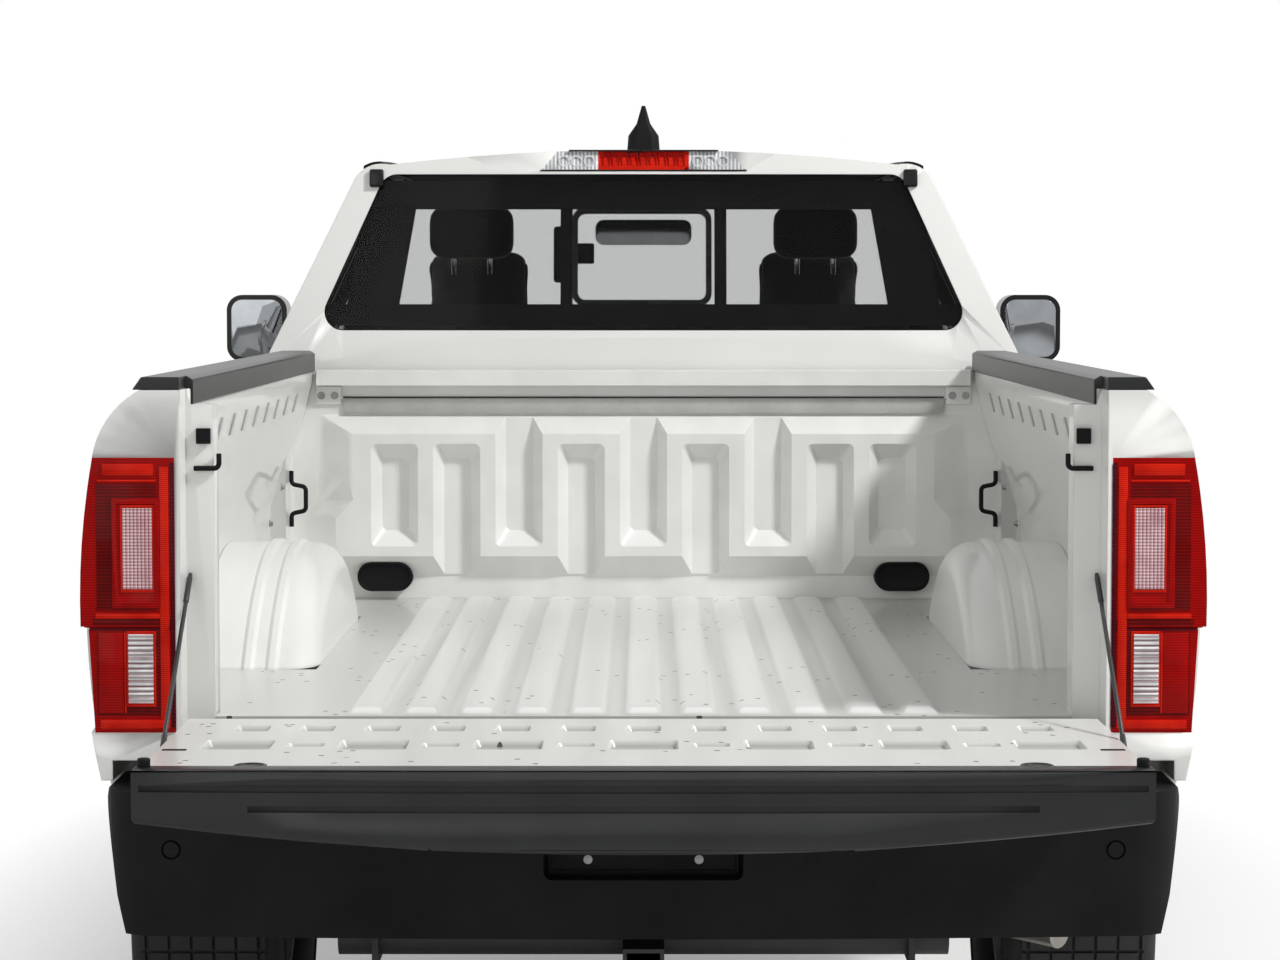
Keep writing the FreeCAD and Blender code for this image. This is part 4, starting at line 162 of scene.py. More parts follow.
class Finish:
    """A new material with one Principled shader, drawn on Object coordinates."""

    def __init__(self, name, **sockets):
        self.material = bpy.data.materials.new(name)
        self.material.use_nodes = True
        self.tree = self.material.node_tree
        self.tree.nodes.clear()
        self.shader = add(self.tree, "ShaderNodeBsdfPrincipled", **sockets)
        self.end = add(self.tree, "ShaderNodeOutputMaterial", Surface=self.shader.outputs["BSDF"])
        self.place = add(self.tree, "ShaderNodeTexCoord").outputs["Object"]

    def noise(self, patch, detail, **settings):
        """Cloudy noise in patches of that many millimetres."""
        settings = {"Vector": self.place, "Scale": 1 / (patch * MM), "Detail": detail, **settings}
        return add(self.tree, "ShaderNodeTexNoise", **settings).outputs["Fac"]

    def cells(self, width, **settings):
        """Each point's distance from the middle of its cell."""
        return add(self.tree, "ShaderNodeTexVoronoi", Vector=self.place, Scale=1 / (width * MM),
                   **settings).outputs["Distance"]

    def wave(self, pitch, direction):
        """Soft bands across one axis."""
        return add(self.tree, "ShaderNodeTexWave", Vector=self.place, Scale=WAVE_PITCH / (pitch * MM),
                   bands_direction=direction).outputs["Fac"]

    def colour(self, source, *stops):
        """Colours the shader through (place, hex colour) stops."""
        feed(self.tree, self.shader.inputs["Base Color"], ramp(self.tree, source, stops))

    def bump(self, height, strength, depth, **settings):
        """Lets a height show as relief that many millimetres deep."""
        relief = add(self.tree, "ShaderNodeBump", Height=height, Strength=strength, Distance=depth * MM,
                     **settings)
        feed(self.tree, self.shader.inputs["Normal"], relief.outputs["Normal"])


# Materials
EDGE_GLEAM = 3.5
STREAK = (60.0, 900.0, 90.0)
# The bed's painted dust and shade fades out between these two heights.
DUST_SHADE_Z = 829.0
CLEAN_LIT_Z = 840.0
GRIT_TOP_Z = 853.0
GRIT_CELL = 60.0
GRIT_SIZE = 0.072
GRIT_PATCH = 170.0
GRIT_SHARE = 0.56


def clearcoated_enamel():
    """Stoved white enamel under clear lacquer: bright and even, with rounded pressed edges."""
    paint = Finish("clearcoated_white_enamel", Roughness=0.35, IOR=1.5, Coat_Weight=0.5,
                   Coat_Roughness=0.05)
    paint.colour(paint.noise(550, 3.0), (0.3, "E4E4E1"), (0.7, "ECECE9"))
    edge = add(paint.tree, "ShaderNodeBevel", samples=4, Radius=EDGE_GLEAM * MM)
    paint.bump(paint.noise(4, 1.0), 0.02, 0.2, Normal=edge.outputs["Normal"])
    return paint.material


def bed_enamel():
    """The same enamel where loads lie: duller, rubbed in streaks, with dust and painted shade in its low
    places and dark grit on it.
    """
    paint = Finish("rubbed_bed_enamel", Roughness=0.36, IOR=1.5, Coat_Weight=0.3, Coat_Roughness=0.12)
    tree = paint.tree
    streaks = add(tree, "ShaderNodeMapping", Vector=paint.place, Scale=[1 / (size * MM) for size in STREAK])
    rub = paint.noise(1 / MM, 1.5, Vector=streaks.outputs["Vector"], Roughness=0.45)
    bright = ramp(tree, rub, ((0.1, "E0E0DD"), (0.9, "F0F0ED")))
    # The valleys and dimples are painted grey, for dust and for painted shade, and the ridges' tops stay
    # bright, rubbed clean.
    height = add(tree, "ShaderNodeSeparateXYZ", Vector=paint.place).outputs["Z"]
    clean = add(tree, "ShaderNodeMapRange", Value=height, From_Min=DUST_SHADE_Z * MM, From_Max=CLEAN_LIT_Z * MM)
    dust_and_shade = mixed(tree, clean.outputs["Result"], linear("AEAEA8"), bright)
    # Grit lies in patches, and none stays on the walls.
    speck = maths(tree, "LESS_THAN", paint.cells(GRIT_CELL, voronoi_dimensions="2D"), GRIT_SIZE)
    patch = maths(tree, "GREATER_THAN", paint.noise(GRIT_PATCH, 2.0), GRIT_SHARE)
    low = maths(tree, "LESS_THAN", height, GRIT_TOP_Z * MM)
    grit = maths(tree, "MULTIPLY", maths(tree, "MULTIPLY", speck, patch), low)
    feed(tree, paint.shader.inputs["Base Color"], mixed(tree, grit, dust_and_shade, linear("3E3A33")))
    paint.bump(paint.noise(6, 0.0), 0.02, 0.2)
    return paint.material


def grained_plastic(name, low, high, roughness, grain, depth, sheen=0.12):
    """Moulded polypropylene with a pebbled grain that breaks up its sheen."""
    plastic = Finish(name, Roughness=roughness, IOR=1.49, Specular_IOR_Level=sheen)
    plastic.colour(plastic.noise(120, 4.0), (0.3, low), (0.7, high))
    plastic.bump(plastic.cells(grain, feature="SMOOTH_F1"), depth, 0.4)
    return plastic.material


def lens_acrylic(name, low, high, flute, depth, direction="Z"):
    """Moulded acrylic over its reflector: deep colour, a soft gloss and fine flutes behind it."""
    lens = Finish(name, Roughness=0.25, IOR=1.49, Specular_IOR_Level=0.06, Coat_Weight=0.05,
                  Coat_Roughness=0.02)
    flutes = lens.wave(flute, direction)
    lens.colour(maths(lens.tree, "MULTIPLY", flutes, lens.noise(35, 2.0)), (0.05, low), (0.55, high))
    lens.bump(flutes, depth, 0.5)
    return lens.material


def filmed(name, code, patch, detail, ior):
    """Something clear under a thin film of dust that dulls it in patches."""
    clear = Finish(name, Base_Color=linear(code), IOR=ior, Transmission_Weight=1.0)
    dull = add(clear.tree, "ShaderNodeMapRange", Value=clear.noise(patch, detail), From_Min=0.4,
               From_Max=0.8, To_Max=0.02)
    feed(clear.tree, clear.shader.inputs["Roughness"], dull.outputs["Result"])
    return clear.material


def clear_cover():
    """Clear moulded polycarbonate: the headlamp's front, bright at its edges."""
    return filmed("clear_moulded_polycarbonate", "F7F8F9", 60, 3.0, 1.3)


def safety_glass(name, code):
    """Toughened glass, tinted in the melt. Its low IOR keeps the white around the truck off it."""
    return filmed(name, code, 220, 4.0, 1.15)


def plated(name, low, high, roughness):
    """Vacuum plated or polished metal: a bright mirror with slight waves."""
    metal = Finish(name, Metallic=1.0, Roughness=roughness)
    cloud = metal.noise(50, 2.0)
    metal.colour(cloud, (0.3, low), (0.7, high))
    metal.bump(cloud, 0.03, 0.3)
    return metal.material


def woven_polyester():
    """Cloth of the seats: a plain weave of dark yarn with lighter flecks, soft at its edges."""
    cloth = Finish("woven_seat_polyester", Roughness=0.9, Sheen_Weight=0.35, Sheen_Roughness=0.4)
    # Real yarn is 0.6 mm apart, drawn at 3 mm so that it shows through the glass.
    weave = maths(cloth.tree, "MULTIPLY", cloth.wave(3, "X"), cloth.wave(3, "Z"))
    cloth.colour(weave, (0.1, "0A0B0C"), (0.8, "191A1C"))
    cloth.bump(weave, 0.35, 0.6)
    return cloth.material


def coated_steel(name, low, high, metallic, roughness, speckle, rust="4A352A"):
    """Dipped or bare metal with road film and small spots of rust or dirt."""
    steel = Finish(name, Metallic=metallic, Roughness=roughness)
    steel.colour(steel.noise(90, 6.0, Roughness=0.7), (0.3, low), (0.68, high), (0.78, rust))
    steel.bump(steel.noise(speckle, 2.0), 0.2, 0.5)
    return steel.material


def tyre_rubber():
    """Cured black rubber, dull, with a grey bloom of road dust."""
    rubber = Finish("cured_tyre_rubber", Roughness=0.82, IOR=1.52)
    rubber.colour(rubber.noise(70, 6.0), (0.3, "1C1C1D"), (0.75, "2C2B2A"))
    rubber.bump(rubber.noise(1.5, 2.0), 0.25, 0.3)
    return rubber.material


# The shadow fades between these distances across the truck, in metres, and farther out along it.
SHADOW_START = 1.0
SHADOW_END = 1.8
SHADOW_SHARE = 0.42


def pale_floor():
    """Plain pale floor that takes the shadow near the truck and runs into the white behind it."""
    floor = Finish("matt_pale_floor", Roughness=0.95)
    tree = floor.tree
    floor.colour(floor.noise(1500, 2.0), (0.3, "F1F1F0"), (0.7, "F6F6F5"))
    squeezed = add(tree, "ShaderNodeVectorMath", operation="MULTIPLY", Vector=floor.place)
    squeezed.inputs[1].default_value = (1.0, SHADOW_SHARE, 1.0)
    reach = add(tree, "ShaderNodeVectorMath", operation="LENGTH", Vector=squeezed.outputs["Vector"])
    far = add(tree, "ShaderNodeMapRange", Value=reach.outputs["Value"], From_Min=SHADOW_START,
              From_Max=SHADOW_END, To_Min=0.3)
    camera_sees = add(tree, "ShaderNodeLightPath").outputs["Is Camera Ray"]
    glow = add(tree, "ShaderNodeEmission", Color=linear("FFFFFF"), Strength=1.0)
    both = add(tree, "ShaderNodeMixShader")
    share = maths(tree, "MULTIPLY", far.outputs["Result"], camera_sees)
    for socket, source in zip(both.inputs, (share, floor.shader.outputs["BSDF"], glow.outputs["Emission"])):
        feed(tree, socket, source)
    feed(tree, floor.end.inputs["Surface"], both.outputs["Shader"])
    return floor.material


M = {
    "enamel": clearcoated_enamel(),
    "bed": bed_enamel(),
    "bumper": grained_plastic("grained_bumper_polypropylene", "0F1011", "19191B", 0.55, 1.4, 0.35),
    "cap": grained_plastic("weathered_cap_polypropylene", "141516", "202122", 0.36, 1.6, 0.2, 0.4),
    "gloss_black": grained_plastic("gloss_black_abs", "0E0F10", "141517", 0.2, 9.0, 0.02, 0.25),
    "cabin": grained_plastic("grained_cabin_polypropylene", "060607", "0C0D0E", 0.75, 1.8, 0.3),
    "felt": grained_plastic("needled_headliner_felt", "070708", "0C0C0D", 0.95, 1.0, 0.5),
    "liner": grained_plastic("needled_arch_liner_felt", "131314", "1D1D1E", 0.9, 2.0, 0.5),
    "seal": grained_plastic("extruded_seal_rubber", "0D0D0E", "151516", 0.6, 2.0, 0.1),
    "tank": grained_plastic("blow_moulded_polyethylene", "151517", "1E1F21", 0.55, 6.0, 0.2),
    "red_lens": lens_acrylic("red_moulded_acrylic", "8C0605", "B40C08", 4.0, 0.02),
    # Orange-tinged bright red: the lens's own red, and painted highlight on the tail lamps' lines, bands,
    # seats and edges.
    "bright_red": lens_acrylic("bright_red_moulded_acrylic", "BC0E06", "E62E14", 3.0, 0.05),
    "deep_red": lens_acrylic("deep_red_moulded_acrylic", "560304", "800706", 5.0, 0.02),
    # Plum: a painted purple highlight on the tail lamps' split line, and the colour of their inner edges.
    "plum_edge": lens_acrylic("plum_acrylic_and_painted_highlight", "3E0512", "5E0A1C", 6.0, 0.02),
    "pink_reflector": lens_acrylic("pale_reflector_acrylic", "B98A90", "F0D6DA", 5.0, 0.2),
    "clear_reflector": lens_acrylic("clear_reflector_acrylic", "A2979A", "FAF8F9", 7.0, 0.35),
    "clear_lamp": lens_acrylic("clear_lamp_acrylic", "A9ABAE", "F4F4F6", 8.0, 0.4, "X"),
    "cover": clear_cover(),
    "rear_glass": safety_glass("privacy_tinted_rear_glass", "C9C9C9"),
    "side_glass": safety_glass("privacy_tinted_side_glass", "3A3E3D"),
    "front_glass": safety_glass("green_tinted_glass", "EFF2F0"),
    "mirror": plated("silvered_mirror_glass", "8F9295", "9B9EA1", 0.04),
    "plated": plated("vacuum_plated_aluminium", "C9CBCE", "DCDEE0", 0.12),
    "zinc": plated("zinc_plated_steel", "8B8D8C", "A5A6A3", 0.35),
    "seat": woven_polyester(),
    "frame": coated_steel("dipped_frame_steel", "151515", "232323", 0.0, 0.55, 2.0),
    # Grey that paints shade: the shadow under the bed header's flange and the hollows of the wall slots.
    "band": coated_steel("primed_header_steel", "A9A9A6", "BBBBB8", 0.0, 0.4, 2.0, "A2A29E"),
    "disc": coated_steel("turned_cast_iron", "6C6B69", "83817E", 0.9, 0.35, 1.0),
    "cast": coated_steel("sand_cast_iron", "4B4A48", "5E5C59", 0.7, 0.6, 1.5),
    "exhaust": coated_steel("rolled_stainless_steel", "8A8680", "A39F98", 1.0, 0.35, 3.0),
    "alloy": coated_steel("painted_cast_aluminium", "9DA0A3", "B0B3B6", 0.8, 0.32, 3.0, "B4B7BA"),
    "rubber": tyre_rubber(),
    "cable": coated_steel("sleeved_steel_cable", "2A2B2C", "3C3D3E", 0.4, 0.4, 1.0, "34302C"),
}


def pairs(*stems):
    """The names of left and right pieces."""
    return [stem + "_" + side for stem in stems for side, sign in SIDES]


NODE_MATERIALS = {
    "enamel": ["cab_shell", "front_wings", "hood", *pairs("bedside", "front_door", "rear_door")],
    "bed": ["bed_floor", "bed_front_wall", "wheelhouses", "tailgate_panel"],
    "bumper": ["front_bumper", "rear_bumper", "tailgate_cap", "body_trim", "bed_hardware"],
    "cap": ["rail_caps"],
    "gloss_black": ["grille", "interior_mirror", *pairs("mirror")],
    "cabin": ["dashboard", "steering_wheel"],
    "seat": ["seats"],
    "frame": ["ladder_frame", "rear_axle", "rear_suspension", "front_suspension", "tow_hitch",
              *pairs("knuckle")],
    "cast": ["engine_block", "driveline"],
    "tank": ["fuel_tank"],
    "exhaust": ["exhaust"],
    "rubber": ["spare_wheel", *pairs("front_tyre", "rear_tyre")],
    "alloy": pairs("front_rim", "rear_rim"),
    "rear_glass": ["rear_window"],
    "side_glass": pairs("rear_glass"),
    "front_glass": ["windscreen", *pairs("front_glass")],
    "red_lens": ["tail_lamps", "high_brake_lamp"],
    "clear_lamp": ["headlamps"],
    "cable": ["tailgate_cables"],
}


def give(piece, *keys):
    """The piece's materials."""
    piece.data.materials.clear()
    for key in keys:
        piece.data.materials.append(M[key])


for key, names in NODE_MATERIALS.items():
    for name in names:
        give(frame["nodes"][name], key)


# Ways of modelling
WELD = 0.02
MELT_ANGLE = 0.6


def clear():
    """Nothing selected, in object mode."""
    if bpy.context.mode != "OBJECT":
        bpy.ops.object.mode_set(mode="OBJECT")
    bpy.ops.object.select_all(action="DESELECT")


def take(piece):
    """Makes the piece the one that the operators act on."""
    clear()
    piece.select_set(True)
    bpy.context.view_layer.objects.active = piece
    return piece


def settled(piece, name):
    """Names a new primitive and puts its place, turn and size into its mesh."""
    piece.name = name
    take(piece)
    bpy.ops.object.transform_apply(location=True, rotation=True, scale=True)
    return piece


def block(name, corner, opposite):
    """A block between two opposite corners."""
    near, far = (at(*map(end, corner, opposite)) for end in (min, max))
    clear()
    bpy.ops.mesh.primitive_cube_add(size=1.0, location=(near + far) / 2, scale=far - near)
    return settled(bpy.context.active_object, name)


TURNS = {"X": (0, math.pi / 2, 0), "Y": (math.pi / 2, 0, 0), "Z": (0, 0, 0)}


def round_bar(name, centre, radius, length, axis="Y", sides=32):
    """A round bar about its centre, along one axis."""
    clear()
    bpy.ops.mesh.primitive_cylinder_add(vertices=sides, radius=radius * MM, depth=length * MM,
                                        location=at(*centre), rotation=TURNS[axis])
    return settled(bpy.context.active_object, name)


def choose(piece, kind, wanted):
    """Selects only those edges or faces, in edit mode."""
    bpy.ops.mesh.select_mode(type=kind)
    bpy.ops.mesh.select_all(action="DESELECT")
    bpy.ops.object.mode_set(mode="OBJECT")
    for part in piece.data.edges if kind == "EDGE" else piece.data.polygons:
        part.select = bool(wanted(part))
    bpy.ops.object.mode_set(mode="EDIT")


@contextmanager
def editing(piece, wanted=None):
    """Edit mode with the whole piece selected, or the faces that wanted(middle, normal) says."""
    take(piece)
    bpy.ops.object.mode_set(mode="EDIT")
    bpy.ops.mesh.select_all(action="SELECT")
    if wanted:
        choose(piece, "FACE", lambda face: wanted(spot(face.center), face.normal))
    yield
    bpy.ops.object.mode_set(mode="OBJECT")


def push(depth):
    """Extrudes the selected faces along their normals, outwards or, below nought, inwards."""
    bpy.ops.mesh.extrude_region()
    bpy.ops.transform.shrink_fatten(value=depth * MM)


def tray(piece, wanted, rim, depth):
    """Sinks those faces, inside a rim, or raises them."""
    with editing(piece, wanted):
        bpy.ops.mesh.inset(thickness=rim * MM)
        push(depth)
    return piece


def modify(piece, kind, **settings):
    """Adds a modifier with its settings and applies it."""
    take(piece)
    modifier = piece.modifiers.new(kind.lower(), kind)
    for name, value in settings.items():
        setattr(modifier, name, value)
    bpy.ops.object.modifier_apply(modifier=modifier.name)
    return piece


def row(piece, count, step):
    """Repeats a piece in a row."""
    return modify(piece, "ARRAY", count=count, use_relative_offset=False, use_constant_offset=True,
                  constant_offset_displace=Vector(step) * MM)


def rounded(piece, radius, segments=2, angle=40):
    """Rounds the hard edges."""
    return modify(piece, "BEVEL", width=radius * MM, segments=segments, limit_method="ANGLE",
                  angle_limit=math.radians(angle), use_clamp_overlap=True)


def round_corners(piece, radius, segments):
    """Rounds the edges that run fore and aft."""
    def fore_and_aft(edge):
        start, end = (piece.data.vertices[index].co for index in edge.vertices)
        along = end - start
        return abs(along.y) > abs(along.x) + abs(along.z)

    with editing(piece):
        choose(piece, "EDGE", fore_and_aft)
        bpy.ops.mesh.bevel(offset=radius * MM, segments=segments)
    return piece


def turned(piece, axis, degrees, about):
    """Turns a piece about a point, round one axis."""
    with editing(piece):
        bpy.ops.transform.rotate(value=-math.radians(degrees), orient_axis=axis, orient_type="GLOBAL",
                                 center_override=at(*about))
    return piece


def moved(piece, step):
    """Moves the whole piece."""
    with editing(piece):
        bpy.ops.transform.translate(value=Vector(step) * MM)
    return piece


def tidy(piece):
    """Merges doubled corners and turns the faces outwards."""
    with editing(piece):
        bpy.ops.mesh.remove_doubles(threshold=WELD * MM)
        bpy.ops.mesh.normals_make_consistent(inside=False)
    return piece


def melted(piece):
    """Makes one face of the triangles that lie in one plane."""
    with editing(piece):
        bpy.ops.mesh.dissolve_limited(angle_limit=math.radians(MELT_ANGLE))
    return piece


def cut_across(piece, place, normal):
    """Cuts the piece's skin along a plane and keeps both sides."""
    with editing(piece):
        bpy.ops.mesh.bisect(plane_co=at(*place), plane_no=normal)


def joined(name, pieces):
    """Several pieces as one."""
    clear()
    for piece in pieces:
        piece.select_set(True)
    bpy.context.view_layer.objects.active = pieces[0]
    bpy.ops.object.join()
    pieces[0].name = name
    return pieces[0]


def copied(piece, name):
    """A new piece with a copy of that mesh."""
    copy = bpy.data.objects.new(name, piece.data.copy())
    bpy.context.scene.collection.objects.link(copy)
    return copy


def across(piece, name):
    """The piece's mirror image on the truck's other side."""
    copy = copied(piece, name)
    copy.scale.x = -1
    return tidy(settled(copy, name))


def skin_of(node):
    """A merged copy of a CAD node's mesh."""
    piece = copied(frame["nodes"][node], node + "_skin")
    with editing(piece):
        bpy.ops.mesh.remove_doubles(threshold=WELD * MM)
    return piece


def done(piece, keys, body="chassis", stands_for=(), angle=30):
    """Gives a finished piece its materials, its body and what it stands for."""
    keys = (keys,) if isinstance(keys, str) else keys
    take(piece)
    if angle:
        bpy.ops.object.shade_smooth_by_angle(angle=math.radians(angle))
    if len(piece.data.materials) < len(keys) or len(keys) == 1:
        give(piece, *keys)
    if stands_for:
        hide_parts(*stands_for)
    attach(piece, body)
    return piece


def dressed(node, key, edge=0.0, regions=(), angle=30, cuts=()):
    """A piece that stands for a CAD node, smooth over its curves, with other finishes in its regions."""
    piece = skin_of(node)
    if edge:
        rounded(melted(piece), edge, angle=angle + 2)
    for place, normal in cuts:
        cut_across(piece, place, normal)
    keys = (key, *(other for other, wanted in regions))
    give(piece, *keys)
    for face in piece.data.polygons:
        face.material_index = 0
        for number, (other, wanted) in enumerate(regions, 1):
            if wanted(spot(face.center), face.normal):
                face.material_index = number
    take(piece)
    bpy.ops.object.shade_smooth_by_angle(angle=math.radians(angle))
    modify(piece, "WEIGHTED_NORMAL", weight=80, keep_sharp=True)
    return done(piece, keys, frame["nodes"][node]["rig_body"], (node,), None)


def laid_on(name, node, middle, width, height):
    """A thin upright plate laid on the nearest side skin of a CAD node."""
    clear()
    bpy.ops.mesh.primitive_grid_add(x_subdivisions=4, y_subdivisions=10, size=1.0, location=at(*middle),
                                    rotation=TURNS["X"])
    plate = bpy.context.active_object
    plate.scale = (width * MM, height * MM, 1)
    settled(plate, name)
    modify(plate, "SHRINKWRAP", target=frame["nodes"][node], wrap_mode="ABOVE_SURFACE",
           wrap_method="NEAREST_SURFACEPOINT", offset=1.5 * MM)
    modify(plate, "SOLIDIFY", thickness=3 * MM, offset=0)
    return rounded(plate, 1)


# Painted body
REAR_WALL_Y = 2250.0
CEILING_Z = 1690.0
CEILING_HALF = 520.0
CAB_FLOOR_Z = 620.0
BULKHEAD_Y = 620.0
BULKHEAD_HALF = 760.0
REAR_PANE = (1402.0, 1742.0)
REAR_PANE_HALF = 706.0
SCREEN_PANE = (1258.0, 1725.0)
SCREEN_PANE_HALF = 739.0
SCREEN_BACK_Y = 1200.0
SIDE_PANE = (1283.0, 1714.0)
FRONT_DOOR_PANE = (700.0, 1700.0)
REAR_DOOR_PANE = (1742.0, 2128.0)
BED_UNDERSIDE_Z = 826.0


def between(value, ends):
    """True inside two ends."""
    return ends[0] < value < ends[1]


def round_arch(y):
    """Finds the faces that line the wheel arch at that station."""
    return lambda c, n: math.hypot(c.y - y, c.z - ARCH_Z) < ARCH_RADIUS + 4 and abs(n.x) < 0.6


def inward(c, n):
    """True for a side wall's inner face."""
    return abs(n.x) > 0.5 and n.x * c.x < 0


def cabin_face(c, n):
    """True for the cab's inner faces."""
    roof = n.z < -0.5 and c.z > CEILING_Z and abs(c.x) < CEILING_HALF
    floor = n.z > 0.5 and c.z < CAB_FLOOR_Z
    rear = n.y < -0.5 and c.y > REAR_WALL_Y
    front = n.y > 0.5 and c.y < BULKHEAD_Y and abs(c.x) < BULKHEAD_HALF
    return roof or floor or rear or front or inward(c, n)


def pane_edge(c, n):
    """True for the edges of the windscreen's and rear window's openings."""
    outward = n.x * c.x > 0.3 * abs(c.x)
    in_rear = c.y > REAR_WALL_Y and abs(c.x) < REAR_PANE_HALF and between(c.z, REAR_PANE)
    in_front = c.y < SCREEN_BACK_Y and abs(c.x) < SCREEN_PANE_HALF and between(c.z, SCREEN_PANE)
    rear = in_rear and abs(n.y) < 0.6 and not outward
    return rear or (in_front and abs(n.x) > 0.3 and n.y > -0.35 and n.z < 0.9 and not inward(c, n))


def side_pane_edge(c, n):
    """True for the edges of a door's window opening."""
    in_door = between(c.y, FRONT_DOOR_PANE) or between(c.y, REAR_DOOR_PANE)
    return in_door and between(c.z, SIDE_PANE) and abs(n.x) < 0.55


def painted_body():
    """Cab, doors, hood, wings and bedsides."""
    dressed("cab_shell", "enamel", regions=(("felt", cabin_face), ("seal", pane_edge)))
    dressed("hood", "enamel", regions=(("liner", lambda c, n: n.z < -0.6),))
    dressed("front_wings", "enamel",
            regions=(("liner", lambda c, n: round_arch(0.0)(c, n) or inward(c, n)),))
    for side, sign in SIDES:
        dressed("bedside_" + side, "enamel", regions=(("liner", round_arch(WHEELBASE)),))
        for door in ("front_door_", "rear_door_"):
            dressed(door + side, "enamel", regions=(("cabin", inward), ("seal", side_pane_edge)))
    under = (("liner", lambda c, n: n.z < -0.7 and c.z < BED_UNDERSIDE_Z),)
    outside = (("enamel", lambda c, n: n.z < 0.3 and c.z < BED_UNDERSIDE_Z),)
    dressed("bed_floor", "bed", regions=under, angle=15)
    dressed("bed_front_wall", "bed", 2.5, regions=under)
    dressed("tailgate_panel", "bed", 2.0, regions=outside)


# Wheelhouses in the bed
WHEELHOUSE_HALF = 569.0
WHEELHOUSE_RADIUS = 632.0
WHEELHOUSE_EDGE = 55.0
WHEELHOUSE_SHEET = 2.0
BED_FLOOR_Z = 835.0
BED_WALL_HALF = 776.0
RIB_STARTS = (WHEELHOUSE_HALF + 66, WHEELHOUSE_HALF + 108)
RIB_FOOT = 24.0
RIB_SLOPE = 7.0
RIB_HEIGHT = 6.0


def wheelhouse():
    """The left wheelhouse: a drum with a round inner edge and two raised ribs, cut off at the floor."""
    middle = (WHEELHOUSE_HALF + BED_WALL_HALF) / 2
    length = BED_WALL_HALF - WHEELHOUSE_HALF
    drum = round_bar("wheelhouse_left", (middle, WHEELBASE, AXLE_Z), WHEELHOUSE_RADIUS, length, "X", 160)
    with editing(drum, lambda c, n: n.x < -0.9):
        bpy.ops.mesh.region_to_loop()
        bpy.ops.mesh.bevel(offset=WHEELHOUSE_EDGE * MM, segments=8)
    for start in RIB_STARTS:
        for x in (start, start + RIB_SLOPE, start + RIB_FOOT - RIB_SLOPE, start + RIB_FOOT):
            cut_across(drum, (x, 0, 0), (1, 0, 0))

    def on_rib(c, n):
        tops = ((start + RIB_SLOPE, start + RIB_FOOT - RIB_SLOPE) for start in RIB_STARTS)
        return abs(n.x) < 0.5 and any(between(c.x, top) for top in tops)

    with editing(drum, on_rib):
        bpy.ops.transform.shrink_fatten(value=RIB_HEIGHT * MM)
        bpy.ops.mesh.select_all(action="SELECT")
        bpy.ops.mesh.bisect(plane_co=at(0, 0, BED_FLOOR_Z), plane_no=(0, 0, 1), clear_inner=True)
    with editing(drum, lambda c, n: n.x > 0.9):
        bpy.ops.mesh.delete(type="FACE")
    return modify(drum, "SOLIDIFY", thickness=WHEELHOUSE_SHEET * MM, offset=-1)


def wheelhouses():
    """Both wheelhouse pressings."""
    left = wheelhouse()
    for piece in (across(left, "wheelhouse_right"), left):
        done(piece, "bed", stands_for=("wheelhouses",))


# Tail lamps
LAMP_FACE = TAIL_Y


def lamp_block(name, low, high, proud):
    """A block on the left lamp's rear face, between two (x, z) corners."""
    return block("tail_lamp_" + name, (low[0], LAMP_FACE - 1, low[1]), (high[0], LAMP_FACE + proud, high[1]))


def lamp_plate(name, low, high, key, proud=1.2, edge=1.0):
    """A thin moulded plate."""
    return key, rounded(lamp_block(name, low, high, proud), min(edge, proud * 0.8))


def lamp_frame(name, low, high, key, rim, proud, sunk):
    """A plate with its middle sunk inside a rim."""
    piece = tray(lamp_block(name, low, high, proud), lambda c, n: n.y > 0.9, rim, -sunk)
    return key, rounded(piece, 0.8)


def ribbed_reflector(name, low, high, key, pitch, level):
    """A reflector's field of half-round ribs, level or upright."""
    (x0, z0), (x1, z1) = low, high
    name = "tail_lamp_" + name
    face = LAMP_FACE + 0.4
    if level:
        rib = round_bar(name, ((x0 + x1) / 2, face, z0 + pitch / 2), pitch / 2, x1 - x0, "X", 10)
        row(rib, int((z1 - z0) / pitch), (0, 0, pitch))
    else:
        rib = round_bar(name, (x0 + pitch / 2, face, (z0 + z1) / 2), pitch / 2, z1 - z0, "Z", 10)
        row(rib, int((x1 - x0) / pitch), (pitch, 0, 0))
    return key, modify(rib, "BEVEL", width=0.3 * MM, segments=1)


